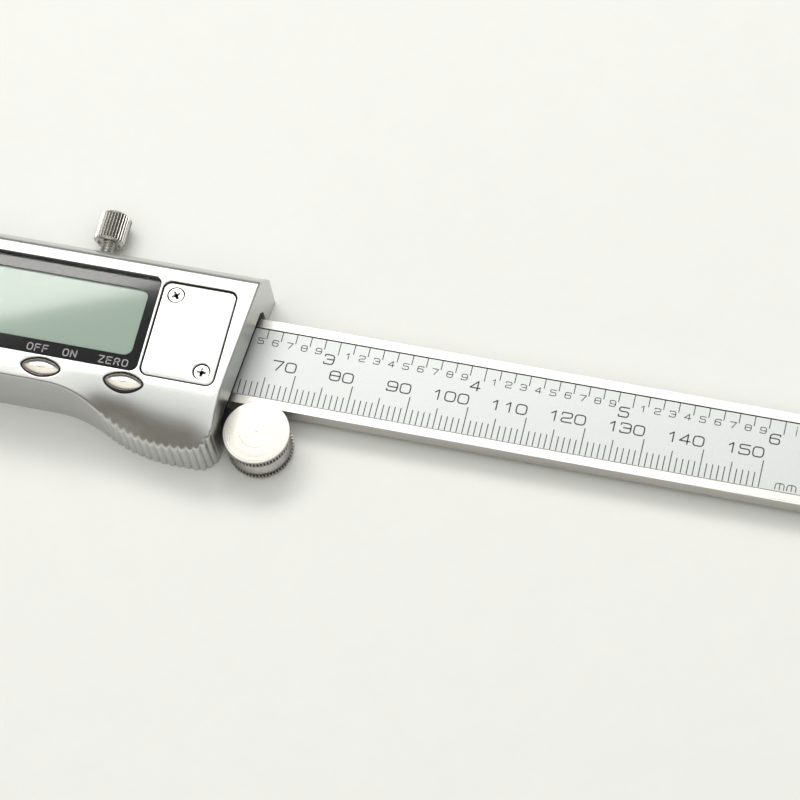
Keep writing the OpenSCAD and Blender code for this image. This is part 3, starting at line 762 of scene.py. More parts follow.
def bent(points, radius, closed):
    """A stroke's points with each bend rounded."""
    p = [np.array(q, float) for q in points]
    count, out = len(p), []
    for i, here in enumerate(p):
        if not closed and i in (0, count - 1):
            out.append(here)
            continue
        a, b = p[i - 1] - here, p[(i + 1) % count] - here
        la, lb = np.linalg.norm(a), np.linalg.norm(b)
        corner = math.acos(max(-1, min(1, float(a @ b) / (la * lb))))
        cut = min(radius / max(math.tan(corner / 2), 0.2), 0.48 * la, 0.48 * lb)
        start, end = here + a / la * cut, here + b / lb * cut
        for k in range(6):
            t = k / 5
            out.append((1 - t) ** 2 * start + 2 * t * (1 - t) * here + t * t * end)
    return out


def stroke_mesh(points, width, closed, bottom, top):
    """A flat ribbon along points, raised from bottom to top."""
    p = np.array(points)
    if closed:
        before, after = np.roll(p, 1, 0), np.roll(p, -1, 0)
    else:
        before, after = np.vstack([p[:1], p[:-1]]), np.vstack([p[1:], p[-1:]])
    d1, d2 = p - before, after - p
    if not closed:
        d1[0], d2[-1] = d2[0], d1[-1]
        # square ends reach half a stroke past the last point
        p[0] -= d2[0] / np.linalg.norm(d2[0]) * width / 2
        p[-1] += d1[-1] / np.linalg.norm(d1[-1]) * width / 2
    d1 /= np.maximum(np.linalg.norm(d1, axis=1, keepdims=True), 1e-9)
    d2 /= np.maximum(np.linalg.norm(d2, axis=1, keepdims=True), 1e-9)
    n = np.c_[-(d1 + d2)[:, 1], (d1 + d2)[:, 0]]
    n /= np.maximum(np.linalg.norm(n, axis=1, keepdims=True), 1e-9)
    side = np.c_[-d1[:, 1], d1[:, 0]]
    n = n / np.clip((n * side).sum(1, keepdims=True), 0.5, 1)
    left, right = p + n * width / 2, p - n * width / 2
    count = len(p)
    verts = [(*q, z) for z in (bottom, top) for row in (left, right) for q in row]
    faces = []
    for i in range(count if closed else count - 1):
        j = (i + 1) % count
        faces.append((2 * count + i, 3 * count + i, 3 * count + j, 2 * count + j))
        faces.append((i, j, count + j, count + i))
        faces.append((i, 2 * count + i, 2 * count + j, j))
        faces.append((count + i, count + j, 3 * count + j, 3 * count + i))
    if not closed:
        for i in (0, count - 1):
            faces.append((i, count + i, 3 * count + i, 2 * count + i))
    return verts, faces


def word_mesh(text, right, base, height, stroke, bottom, top, wide=1.0, gap=0.32, bend=0.3, centred=False):
    """Signs in a row whose right end, or middle if centred, is at right. Sizes in millimetres."""
    box_w = height * wide - stroke
    box_h = height - stroke
    advance = box_w + stroke + gap * height
    total = len(text) * advance - gap * height
    x = (right - total / 2 if centred else right - total) + stroke / 2
    shapes = []
    for sign in text:
        for line in SIGNS[sign]:
            closed = line[-1] == "closed"
            points = [(x + a * box_w, base + stroke / 2 + b * box_h) for a, b in (line[:-1] if closed else line)]
            radius = 0.02 if sign in SHARP else bend * height
            if sign in "OR":
                radius = 0.42 * height
            shapes.append(stroke_mesh(bent(points, radius, closed), stroke, closed, bottom, top))
        x += advance
    return joined(*shapes)


# ---------------------------------------------------------------- casing


def smooth_curve(stops, x):
    """A smooth curve through (x, value) stops, flat beyond both ends."""
    xs, ys = np.array(stops).T
    slope = np.gradient(ys, xs)
    slope[0] = slope[-1] = 0
    x = np.clip(x, xs[0], xs[-1])
    k = np.clip(np.searchsorted(xs, x) - 1, 0, len(xs) - 2)
    w = xs[k + 1] - xs[k]
    t = (x - xs[k]) / w
    return (
        ys[k] * (1 + 2 * t) * (1 - t) ** 2
        + slope[k] * w * t * (1 - t) ** 2
        + ys[k + 1] * t * t * (3 - 2 * t)
        + slope[k + 1] * w * t * t * (t - 1)
    )


class CasingPlan:
    """The casing's outline in plan, and the height of its face over it."""

    grip_entry, grip_out, first_r, second_r, corner_r = -0.9, 5.7, 20.0, 26.0, 3.6
    # height of the face's lower edge along the thumb grip, above the table
    rim_stops = [(-6, 12.8), (0, 12.7), (3.2, 12.3), (6.2, 11.1), (9.0, 9.1), (12, 7.5), (17, 6.9), (23, 7.3), (29, 8.9)]
    swell_from = -10.6
    even_from = 0.8

    def __init__(self, sizes):
        lo, hi = box("casing")
        self.x0, self.x1, self.y1, self.top = lo.x, hi.x, hi.y, hi.z
        self.low = lo.y + self.grip_out
        self.sizes = sizes
        self.end_x = box("thumb_roller_upper")[0].x - 0.7
        self.brow_y = self.y1 - sizes.brow_width / MM
        turn = math.acos(1 - self.grip_out / (self.first_r + self.second_r))
        self.turn = math.degrees(turn)
        self.second = (
            self.grip_entry + (self.first_r + self.second_r) * math.sin(turn),
            self.low - self.grip_out + self.second_r,
        )
        self.corner = (self.end_x - self.corner_r, self.low - self.grip_out + self.corner_r)

    def lower_side(self, steps=1):
        """The plain lower outline from the left end to the end wall."""
        a = arc((self.grip_entry, self.low - self.first_r), self.first_r, 90, 90 - self.turn, 16 * steps)
        b = arc(self.second, self.second_r, 270 - self.turn, 270, 22 * steps)
        c = arc(self.corner, self.corner_r, 270, 360, 16 * steps)
        reach = self.corner[0] - self.second[0]
        run = [(self.second[0] + reach * i / (6 * steps), b[-1][1]) for i in range(1, 6 * steps)]
        return a + b[1:] + run + c

    def serrated(self):
        """The lower outline with the thumb grip's serrations, and the plain one point for point."""
        line = np.array(self.lower_side(12))
        step = np.r_[0, np.cumsum(np.linalg.norm(np.diff(line, axis=0), axis=1))]
        pitch, depth = self.sizes.grip_pitch / MM, self.sizes.grip_depth / MM
        count = self.sizes.grip_count
        begin = np.interp(8.0, line[:, 0], step)
        finish = begin + count * pitch
        stops = [s for s in np.arange(0, begin, 1.0)]
        stops += list(np.linspace(begin, finish, count * 12 + 1))
        stops += list(np.arange(finish + 0.25, step[-1], 0.25)) + [step[-1]]
        stops = np.array(stops)
        plain = np.c_[np.interp(stops, step, line[:, 0]), np.interp(stops, step, line[:, 1])]
        along = np.gradient(plain, axis=0)
        along /= np.linalg.norm(along, axis=1, keepdims=True)
        inward = np.c_[-along[:, 1], along[:, 0]]
        phase = (stops - begin) / pitch
        wave = 1 - np.abs(np.sin(np.pi * phase)) ** 0.8
        fade = np.clip(phase / 1.5, 0, 1) * np.clip((count - phase) * 4, 0, 1)
        cut = np.where((stops >= begin) & (stops <= finish), depth * wave * fade, 0)
        return plain + inward * cut[:, None], plain

    def end_line(self, y):
        """x of the end wall above its lower, square part."""
        upper = self.x1 + (y - self.y1) * (self.x1 - self.end_x) / (self.y1 + 10)
        return np.where(y > -10, upper, self.end_x)

    def height(self, xy):
        """Height of the face over points of the plan, without its rounded edge."""
        x, y = xy[:, 0], xy[:, 1]
        z = np.full(len(xy), self.top)
        # slope on the lock screw's side, with a rounded brow
        drop, width, r = self.sizes.brow_drop / MM, self.sizes.brow_width / MM, 1.7
        slope = math.atan2(drop, width)
        start = self.brow_y - r * math.tan(slope / 2)
        over = y - start
        curved = r - np.sqrt(np.maximum(r * r - np.clip(over, 0, r * math.sin(slope)) ** 2, 0))
        straight = np.maximum(over - r * math.sin(slope), 0) * math.tan(slope)
        z = z - np.where(over > 0, curved + straight, 0)
        # swell of the thumb grip
        line = np.array(self.lower_side(2))
        flat = line[line[:, 1] > line[:, 1].min() - 1]
        rim_y = np.where(x > self.second[0], self.low - self.grip_out, np.interp(x, flat[:, 0], flat[:, 1]))
        rim_z = smooth_curve(self.rim_stops, x)
        t = np.clip((self.swell_from - y) / (self.swell_from - rim_y), 0, 1.05)
        # the slope grows up to this share of the width and stays even beyond it
        even = self.even_from
        bulge = np.where(t < even, t * t / (2 * even), t - even / 2) / (1 - even / 2)
        return z - (self.top - rim_z) * bulge


def casing_mesh(sizes):
    plan = CasingPlan(sizes)
    edge_r, wall = sizes.face_edge / MM, sizes.wall / MM
    serrated, plain_low = plan.serrated()
    opening_top, opening_y1 = 6.6, 9.1
    frame_hi = box("slider_frame")[1]
    body_lo = box("circuit_board")[0].y
    opening_y0 = body_lo - 0.9
    # points up the end wall, with a doubled pair at each step of the opening
    ys = [-14.5, opening_y0 - 0.01, opening_y0 + 0.01, -10.0, -5.0, 0.0, 5.0, 8.0, opening_y1 - 0.01, opening_y1 + 0.01]
    ys += list(np.linspace(10.2, plan.y1 - 0.05, 16)) + [plan.y1]
    end = np.array([(float(plan.end_line(np.array(y))), y) for y in ys])
    top_row = np.array([(x, plan.y1) for x in np.linspace(plan.x1, plan.x0, 30)[1:]])
    left_ys = list(np.linspace(plan.y1 - 0.05, 10.2, 16)) + list(np.linspace(9.0, plan.low, 12))[:-1]
    left = np.array([(plan.x0, y) for y in left_ys])
    jaw_gate = box("gib_strip")[0].x + 0.6
    low_row = np.array([(x, plan.low) for x in [plan.x0, -21, jaw_gate - 0.01, jaw_gate + 0.01, -12, -8, -4]])
    outline = np.vstack([low_row, serrated, end, top_row, left])
    plain = np.vstack([low_row, plain_low, end, top_row, left])

    rings, falls = edge_rings(outline, edge_r)
    lens_lo, lens_hi = box("window_lens")
    cover_lo, cover_hi = box("battery_cover")
    holes = [
        round_rect(lens_lo.x - 0.12, lens_hi.x + 0.12, lens_lo.y - 0.12, lens_hi.y + 0.12, 1.3),
        round_rect(cover_lo.x - 0.2, cover_hi.x + 0.2, cover_lo.y - 0.2, cover_hi.y + 0.2, 1.48),
    ]
    for node in ("button_units", "button_power", "button_zero"):
        x, y = button_centre(node)
        holes.append(eye(x, y, *BUTTON_HOLE))
    hole_rings = [edge_rings(h, sizes.recess_edge / MM, outwards=True, steps=3) for h in holes]

    # rows of extra points where the face bends
    extra = []
    for y in list(np.linspace(plan.brow_y - 1.3, plan.y1 - edge_r - 0.1, 14)):
        extra += [(x, y) for x in np.linspace(plan.x0 + 0.8, plan.x1 - 0.9, 40)]
    taken = [np.array(inset(h, -0.3)) for h in holes]
    inner_edge = np.array(inset(plain, edge_r + 0.12))
    rows, columns = np.arange(-19.3, plan.swell_from + 0.4, 0.4), np.arange(plan.x0 + 0.9, plan.end_x, 0.6)
    grid = np.array([(x, y) for y in rows for x in columns])
    keep = holds(inner_edge, grid)
    serrated_edge = np.array(inset(outline, edge_r + 0.1))
    keep &= holds(serrated_edge, grid)
    for hole in taken:
        keep &= ~holds(hole, grid)
    extra += [tuple(p) for p in grid[keep]]
    flat, triangles, numbers = spanned(rings, [r for r, _ in hole_rings], extra)
    height = plan.height(flat)
    for ring_set, fall in [(numbers[0], falls)] + [(n, f) for n, (_, f) in zip(numbers[1:], hole_rings)]:
        for ring, drop_by in zip(ring_set, fall):
            height[ring] -= drop_by
    verts = [(x, y, z) for (x, y), z in zip(flat, height)]
    faces = [tuple(t) for t in triangles.tolist()]

    # outer wall down to the table, or to the opening's upper edge
    def sill(x, y):
        if x < jaw_gate:
            return 4.95
        if x > plan.end_x - 0.1 and opening_y0 < y < opening_y1:
            return min(opening_top, opening_top - 1.3 * (y - 8.0)) if y > 8.0 else opening_top
        return 0.0

    sills = [sill(x, y) for x, y in plain]
    edge = numbers[0][0]
    start = len(verts)
    verts += [(x, y, s) for (x, y), s in zip(outline, sills)]
    foot = list(range(start, start + len(outline)))
    faces += rings_between(foot, edge)

    # inner walls and ceiling
    hollow = np.array(inset(plain, wall))
    hollow[:, 1] = np.clip(hollow[:, 1], body_lo - 0.25, frame_hi.y + 0.1)
    hollow[:, 0] = np.clip(hollow[:, 0], plan.x0 + wall, plan.end_x - wall)
    upper = hollow.copy()
    upper[:, 1] = np.clip(upper[:, 1], body_lo - 0.25, 10.4)
    levels = [(hollow, np.array(sills)), (hollow, np.full(len(hollow), 8.3)), (upper, np.full(len(hollow), 11.3))]
    previous = foot
    for ring, z in levels:
        start = len(verts)
        verts += [(x, y, h) for (x, y), h in zip(ring, z)]
        here = list(range(start, start + len(ring)))
        faces += rings_between(here, previous)
        previous = here
    ceiling_edge = dedupe(upper)
    hole_edges = [[tuple(flat[i]) for i in n[0]] for n in numbers[1:]]
    base, base_triangles, base_numbers = spanned([ceiling_edge], [[h] for h in hole_edges])
    start = len(verts)
    verts += [(x, y, 11.3) for x, y in base]
    faces += [tuple(start + i for i in reversed(t)) for t in base_triangles.tolist()]
    for rim, n in zip(numbers[1:], base_numbers[1:]):
        faces += rings_between([start + i for i in n[0]], rim[0])
    return verts, faces


def dedupe(ring):
    """A closed ring without its repeated points."""
    kept = [tuple(ring[0])]
    for p in ring[1:]:
        if math.dist(p, kept[-1]) > 1e-4:
            kept.append(tuple(p))
    if math.dist(kept[0], kept[-1]) < 1e-4:
        kept.pop()
    return kept


BUTTON_HOLE = (3.52, 1.8)
BUTTON_CAP = (3.2, 1.5)


def button_centre(node):
    lo, hi = box(node)
    return (lo.x + hi.x) / 2, box("casing")[0].y + 8.2


# ---------------------------------------------------------------- operators


def settings():
    return bpy.context.scene


class CALIPER_OT_casing(bpy.types.Operator):
    """Build the casing with its brow, thumb grip, recesses and end opening"""

    bl_idname = "caliper.casing"
    bl_label = "Casing"

    def execute(self, context):
        scene = settings()
        metal = finish_material(
            "satin_casing", scene.caliper_colours.casing, metallic=1.0, roughness=(0.26, 0.34),
            stretch=(0.12, 1, 1), scale=5200, tone=0.05, bump=0.10, smudge=(45, 0.5),
        )  # fmt: skip
        verts, faces = casing_mesh(scene.caliper_casing)
        shell = add_piece("casing_shell", verts, faces, metal, "slider", "case_metal")
        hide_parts("casing")
        plate_metal = finish_material(
            "back_plate_metal", scene.caliper_colours.casing, metallic=1.0, roughness=(0.28, 0.42),
            stretch=(0.04, 1, 1), scale=4200, tone=0.10, bump=0.2,
        )  # fmt: skip
        bevelled_copy("back_plate_sheet", "back_plate", plate_metal, "slider", "plate_metal", width=0.08)
        return {"FINISHED"}


class CALIPER_OT_wiper(bpy.types.Operator):
    """Build a black block in the casing's end opening, over the beam, as painted shade in the gap there"""

    bl_idname = "caliper.wiper"
    bl_label = "End shade"

    def execute(self, context):
        # near-black block: painted shade of the hollow under the casing's end, beside the scale film
        shade_black = finish_material("wiper_felt", (0.010, 0.010, 0.011), roughness=(0.75, 0.9), scale=1800, tone=0.4, bump=0.3)
        plan = CasingPlan(settings().caliper_casing)
        low, high = box("scale_label")[1].z + 0.2, 6.75
        y0, y1 = box("circuit_board")[0].y - 0.3, 8.7
        verts, faces = [], []
        ys = np.linspace(y0, y1, 12)
        for y in ys:
            x = float(plan.end_line(np.array(y))) - 0.3
            verts += [(x, y, low), (x, y, high), (x - 0.8, y, high), (x - 0.8, y, low)]
        for k in range(len(ys) - 1):
            for i in range(4):
                j = (i + 1) % 4
                faces.append((4 * k + i, 4 * k + j, 4 * k + 4 + j, 4 * k + 4 + i))
        faces += [(0, 1, 2, 3), tuple(range(4 * len(ys) - 1, 4 * len(ys) - 5, -1))]
        add_piece("end_wiper", verts, faces, shade_black, "slider", "keypad_rubber", smooth=False, weighted=False)
        return {"FINISHED"}


class CALIPER_OT_window(bpy.types.Operator):
    """Build the window lens, its black mask with lettering, and the display panel"""

    bl_idname = "caliper.window"
    bl_label = "Window"

    def execute(self, context):
        colours = settings().caliper_colours
        lens = finish_material(
            "clear_window", (0.03, 0.03, 0.03), roughness=(0.02, 0.05), tone=0.02, bump=0, smudge=(30, 0.4), alpha=0.05
        )
        lo, hi = box("window_lens")
        verts, faces = plate(round_rect(lo.x, hi.x, lo.y, hi.y, 1.2), hi.z, lo.z, 0.12)
        pane = add_piece("window_pane", verts, faces, lens, "slider", "lens_clear")
        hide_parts("window_lens")

        print_black = finish_material(
            "mask_print", colours.mask, roughness=(0.25, 0.35), scale=2500, tone=0.2, bump=0.0, coat=1.0, specular=0.0
        )
        lo, hi = box("window_mask")
        opening = round_rect(lo.x + 1.9, hi.x - 1.75, lo.y + 2.95, hi.y - 2.15, 1.45)
        verts, faces = plate(round_rect(lo.x, hi.x, lo.y, hi.y, 1.2), hi.z, lo.z, 0.02, [opening], 0.01)
        mask = add_piece(
            "window_mask_print", verts, faces, print_black, "slider", "mask_black", smooth=False, weighted=False
        )
        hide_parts("window_mask")

        white = finish_material(
            "mask_lettering", colours.lettering, roughness=(0.3, 0.4), scale=9000, tone=0.1, bump=0.0, coat=1.0, specular=0.0
        )
        words = []
        line = lo.y + 0.78
        for text, node, shift, sign_gap in (
            ("mm/in", "button_units", 0.0, 0.16), ("OFF", "button_power", -1.75, 0.2),
            ("ON", "button_power", 3.9, 0.2), ("ZERO", "button_zero", -2.95, 0.2),
        ):  # fmt: skip
            x = button_centre(node)[0] + shift
            words.append(
                word_mesh(text, x, line, 1.4, 0.2, hi.z, hi.z + 0.006, wide=0.78, gap=sign_gap, centred=True)
            )
        add_piece("mask_words", *joined(*words), white, "slider", "mask_black", smooth=False, weighted=False)

        panel = finish_material(
            "display_panel", colours.lcd, roughness=(0.16, 0.24), scale=7000, tone=0.05, bump=0.0,
            smudge=(25, 0.6), coat=1.0, specular=0.0,
        )  # fmt: skip
        lo, hi = box("lcd_glass")
        verts, faces = plate(round_rect(lo.x, hi.x, lo.y, hi.y, 0.2), hi.z, lo.z, 0.05)
        glass = add_piece("display_glass", verts, faces, panel, "slider", "lcd")
        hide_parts("lcd_glass")
        return {"FINISHED"}


class CALIPER_OT_buttons(bpy.types.Operator):
    """Build the three crowned buttons"""

    bl_idname = "caliper.buttons"
    bl_label = "Buttons"

    def execute(self, context):
        metal = finish_material(
            "button_plating", (0.74, 0.70, 0.63), metallic=1.0, roughness=(0.10, 0.18), scale=2600, tone=0.06,
            bump=0.06, smudge=(300, 0.5),
        )  # fmt: skip
        lips = []
        for node, body in (
            ("button_units", "units_button"), ("button_power", "power_button"), ("button_zero", "zero_button")
        ):  # fmt: skip
            lo, hi = box(node)
            x, y = button_centre(node)
            (a, b), skirt = BUTTON_CAP, hi.z - 0.62
            verts, faces, rings = [], [], []
            shares = [1.0, 0.995, 0.97, 0.93, 0.86, 0.75, 0.6, 0.45, 0.3, 0.15]
            for share in shares:
                rise = (hi.z - skirt) * (1 - share ** 2.6) ** 0.8
                ring = [(px, py, skirt + rise) for px, py in eye(x, y, a * share, b * share)]
                rings.append(list(range(len(verts), len(verts) + len(ring))))
                verts += ring
            for lower, upper in zip(rings, rings[1:]):
                faces += rings_between(lower, upper)
            verts.append((x, y, hi.z))
            last = rings[-1]
            faces += [(last[i], last[(i + 1) % len(last)], len(verts) - 1) for i in range(len(last))]
            foot = [(px, py, skirt - 1.1) for px, py in eye(x, y, a, b)]
            start = len(verts)
            verts += foot
            ring = list(range(start, start + len(foot)))
            faces += rings_between(ring, rings[0])
            faces.append(tuple(reversed(ring)))
            stem = lathe([(0.95, lo.z - skirt), (0.95, -1.0)], (x, y + 0.75, skirt), steps=32)
            flange = plate(round_rect(x - 3.6, x + 3.6, y - 0.65, y + 1.75, 0.4), skirt - 1.1, skirt - 1.9, 0.05)
            cap = joined((verts, faces), flange, stem)
            piece = add_piece(node + "_cap", *cap, metal, body, "button_metal", weighted=False)
            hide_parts(node)
            lips.append(
                plate(eye(x, y, *BUTTON_HOLE), skirt - 0.12, skirt - 1.0, 0.02, [eye(x, y, a + 0.06, b + 0.06)])
            )
        black_fill = finish_material("lip_rubber", (0.008, 0.008, 0.009), roughness=(0.7, 0.85), scale=2500, tone=0.3)
        add_piece("button_lips", *joined(*lips), black_fill, "slider", "keypad_rubber", smooth=False, weighted=False)
        return {"FINISHED"}


def cross_head(radius, thickness, depth=0.42):
    """A domed screw head with a cross recess, its top at height 0."""
    arm, half = radius * 0.6, radius * 0.16
    cross = [
        (arm, half), (half * 1.25, half * 1.25), (half, arm), (-half, arm), (-half * 1.25, half * 1.25), (-arm, half),
        (-arm, -half), (-half * 1.25, -half * 1.25), (-half, -arm), (half, -arm), (half * 1.25, -half * 1.25), (arm, -half),
    ]  # fmt: skip
    outline = arc((0, 0), radius, 0, 352.5, 47)
    outer, falls = edge_rings(outline, 0.14)
    flat, triangles, numbers = spanned(outer, [[np.array(cross)]], arc((0, 0), radius * 0.75, 0, 345, 23))
    z = -0.05 * (np.hypot(flat[:, 0], flat[:, 1]) / radius) ** 2
    for ring, fall in zip(numbers[0], falls):
        z[ring] -= fall
    verts = [(x, y, h) for (x, y), h in zip(flat, z)]
    faces = [tuple(t) for t in triangles.tolist()]
    start = len(verts)
    verts += [(flat[i][0], flat[i][1], -thickness) for i in numbers[0][0]]
    ring = list(range(start, start + len(numbers[0][0])))
    faces += rings_between(ring, numbers[0][0]) + [tuple(reversed(ring))]
    start = len(verts)
    verts += [(flat[i][0] * 0.55, flat[i][1] * 0.55, -depth) for i in numbers[1][0]]
    pit = list(range(start, start + len(cross)))
    faces += rings_between(pit, numbers[1][0]) + [tuple(pit)]
    return verts, faces


def screw_set(name, node, spots, radius, thickness, body, slot, material, under=False, shank=None, turn=0.9):
    """Cross-headed screws at spots, which stand for a CAD node."""
    stem = lathe([(shank[0], shank[1]), (shank[0], -thickness)], (0, 0, 0), steps=24)
    head = joined(cross_head(radius, thickness), stem)
    shape = template("screw_head", *head)
    flip = (math.pi, 0, 0) if under else (0, 0, 0)
    grown_mesh = grown(name, spread_tree, spots, material, Turn_step=turn, Flip=flip, Template=shape)
    drop(shape)
    piece = add_piece(name, *grown_mesh, material, body, slot, weighted=False)
    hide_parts(node)
    return piece


def screw_spots(node, z):
    """Plane centres of a CAD node's separate screws."""
    work = bmesh.new()
    work.from_mesh(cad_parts[node].data)
    bmesh.ops.remove_doubles(work, verts=work.verts, dist=1e-6)
    seen, spots = set(), []
    for vert in work.verts:
        if vert in seen:
            continue
        group, queue = [], [vert]
        seen.add(vert)
        while queue:
            here = queue.pop()
            group.append(here.co / MM)
            for edge in here.link_edges:
                other = edge.other_vert(here)
                if other not in seen:
                    seen.add(other)
                    queue.append(other)
        a = np.array(group)
        middle = (a.min(0) + a.max(0)) / 2
        spots.append((middle[0], middle[1], z))
    work.free()
    return spots


class CALIPER_OT_battery_cover(bpy.types.Operator):
    """Build the battery cover and its two screws"""

    bl_idname = "caliper.battery_cover"
    bl_label = "Battery cover"

    def execute(self, context):
        colours = settings().caliper_colours
        metal = finish_material(
            "cover_metal", colours.casing, metallic=1.0, roughness=(0.24, 0.32), stretch=(0.12, 1, 1), scale=5200,
            tone=0.05, bump=0.1, smudge=(70, 0.5),
        )  # fmt: skip
        lo, hi = box("battery_cover")
        spots = screw_spots("battery_cover_screws", hi.z)
        holes = [arc((x, y), 1.5, 0, 352.5, 47) for x, y, _ in spots]
        middle, half = (lo + hi) / 2, (hi - lo) / 2

        def pillow(p):
            u = np.abs(p[:, 0] - middle.x) / half.x
            v = np.abs(p[:, 1] - middle.y) / half.y
            top = p[:, 1] > middle.y
            return -0.05 * u**8 - np.where(top, 0.34 * v**6, 0.1 * v**8)

        grid = [
            (x, y)
            for x in np.linspace(lo.x + 0.7, hi.x - 0.7, 12)
            for y in np.r_[np.linspace(lo.y + 0.5, lo.y + 3, 7), np.linspace(hi.y - 3, hi.y - 0.5, 7)]
            if all(math.dist((x, y), (sx, sy)) > 2.0 for sx, sy, _ in spots)
        ]
        verts, faces = plate(round_rect(lo.x, hi.x, lo.y, hi.y, 1.3), hi.z, lo.z, 0.16, holes, 0.08, pillow, grid)
        # black ring under the gap round the cover: painted shade at the bottom of the gap
        seat = plate(
            round_rect(lo.x - 0.19, hi.x + 0.19, lo.y - 0.19, hi.y + 0.19, 1.47), lo.z + 0.3, lo.z - 0.3, 0.02,
            [round_rect(lo.x - 0.02, hi.x + 0.02, lo.y - 0.02, hi.y + 0.02, 1.32)],
        )  # fmt: skip
        black_fill = finish_material("seal_rubber", (0.008, 0.008, 0.009), roughness=(0.7, 0.85), scale=2500, tone=0.3)
        add_piece("battery_cover_seal", *seat, black_fill, "slider", "keypad_rubber", smooth=False, weighted=False)
        cover = add_piece("battery_cover_plate", verts, faces, metal, "slider", "cover_metal")
        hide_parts("battery_cover")
        bright = finish_material(
            "screw_plating", (0.84, 0.83, 0.81), metallic=1.0, roughness=(0.18, 0.3), scale=3500, tone=0.1, bump=0.1
        )
        high = sorted(spots, key=lambda s: -s[1])
        spots = [(high[1][0], high[1][1], hi.z - 0.30), (high[0][0], high[0][1], hi.z - 0.12)]
        lowest = box("battery_cover_screws")[0].z
        screw_set(
            "battery_cover_screw_heads", "battery_cover_screws", spots, 1.36, 0.42, "slider", "screw_steel", bright,
            shank=(0.68, lowest - hi.z + 0.4), turn=0.62,
        )  # fmt: skip
        return {"FINISHED"}


class CALIPER_OT_lock_screw(bpy.types.Operator):
    """Build the lock screw's fluted knob and its threaded shank"""

    bl_idname = "caliper.lock_screw"
    bl_label = "Lock screw"

    def execute(self, context):
        scene = settings()
        nickel = finish_material(
            "knob_nickel", scene.caliper_colours.nickel, metallic=1.0, roughness=(0.2, 0.32), scale=2500, tone=0.1,
            bump=0.15, smudge=(250, 0.6),
        )  # fmt: skip
        lo, hi = box("lock_knob")
        centre = (lo + hi) / 2
        r, span = (hi.x - lo.x) / 2, hi.y - lo.y
        at = (centre.x, lo.y, centre.z)
        core = lathe(
            [(1.25, 0.35), (r - 1.0, 0.35), (r - 0.85, 0.05), (r - 0.62, 0.0), (r - 0.3, 0.3), (r - 0.26, 0.45),
             (r - 0.26, span - 0.45), (r - 0.3, span - 0.3), (r - 0.55, span - 0.04), (r - 0.75, span),
             (r - 0.95, span - 0.12), (r - 1.1, span - 0.25), (0.4, span - 0.22)],
            at, along="Y", steps=90,
        )  # fmt: skip
        count = scene.caliper_turned.knob_flutes
        half = math.pi * r / count * 0.62
        # one rib: a rounded bar along Z with tapered ends
        rib, rib_faces, rings = [], [], []
        for z, share in ((0.22, 0.0), (0.5, 1.0), (span - 0.5, 1.0), (span - 0.22, 0.0)):
            ring = []
            for t in np.linspace(-1, 1, 7):
                rise = 0.34 * share * math.cos(t * math.pi / 2)
                ring.append(len(rib))
                rib.append((r - 0.34 + rise, half * t * (0.75 + 0.25 * share), z))
            rings.append(ring)
        for a, b in zip(rings, rings[1:]):
            rib_faces += [(a[i], a[i + 1], b[i + 1], b[i]) for i in range(6)]
            rib_faces.append((a[0], b[0], b[6], a[6]))
        shape = template("knob_rib", rib, rib_faces)
        # dark sleeve under the ribs: painted shade in the flutes between them
        shade = finish_material(
            "flute_shade", (0.06, 0.056, 0.05), metallic=0.4, roughness=(0.4, 0.6), scale=2600, tone=0.4, bump=0.1
        )
        sleeve = lathe([(r - 0.235, 0.46), (r - 0.235, span - 0.46)], at, along="Y", steps=90)
        add_piece("knob_flutes", *sleeve, shade, "lock_screw", "knob_metal", weighted=False)
        ribs = grown(
            "knob_ribs", ring_tree, [(0, 0, 0)], nickel, Count=count, Centre=tuple(np.array((at[0], at[1], at[2])) * MM),
            Axis_turn=(-math.pi / 2, 0, 0), Template=shape,
        )  # fmt: skip
        drop(shape)
        knob = add_piece("lock_knob_fluted", *joined(core, ribs), nickel, "lock_screw", "knob_metal")
        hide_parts("lock_knob")

        steel = finish_material(
            "lock_thread_metal", scene.caliper_colours.nickel, metallic=1.0, roughness=(0.25, 0.4), scale=3000,
            tone=0.15, bump=0.1,
        )  # fmt: skip
        lo, hi = box("lock_screw")
        r = (hi.x - lo.x) / 2
        pitch = scene.caliper_turned.thread_pitch / MM
        around, verts, faces = 36, [], []
        heights = np.arange(lo.y + 0.2, knob_foot() + 0.3, pitch / 8)
        for k, y in enumerate(heights):
            for i in range(around):
                t = 2 * math.pi * i / around
                phase = (y / pitch - i / around) % 1.0
                radius = r - 0.27 * abs(2 * phase - 1) * min(1, (y - lo.y) / 0.8)
                verts.append((centre.x + radius * math.sin(t), y, centre.z + radius * math.cos(t)))
        rings = [list(range(k * around, (k + 1) * around)) for k in range(len(heights))]
        for a, b in zip(rings, rings[1:]):
            faces += rings_between(a, b)
        tip = lathe([(r - 0.5, 0), (r - 0.28, 0.25)], (centre.x, lo.y, centre.z), along="Y", steps=around)
        faces += [tuple(reversed(rings[0])), tuple(rings[-1])]
        shank = joined((verts, faces), tip)
        thread = add_piece("lock_screw_thread", *shank, steel, "lock_screw", "knob_metal", weighted=False)
        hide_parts("lock_screw")
        return {"FINISHED"}


def knob_foot():
    return box("lock_knob")[0].y


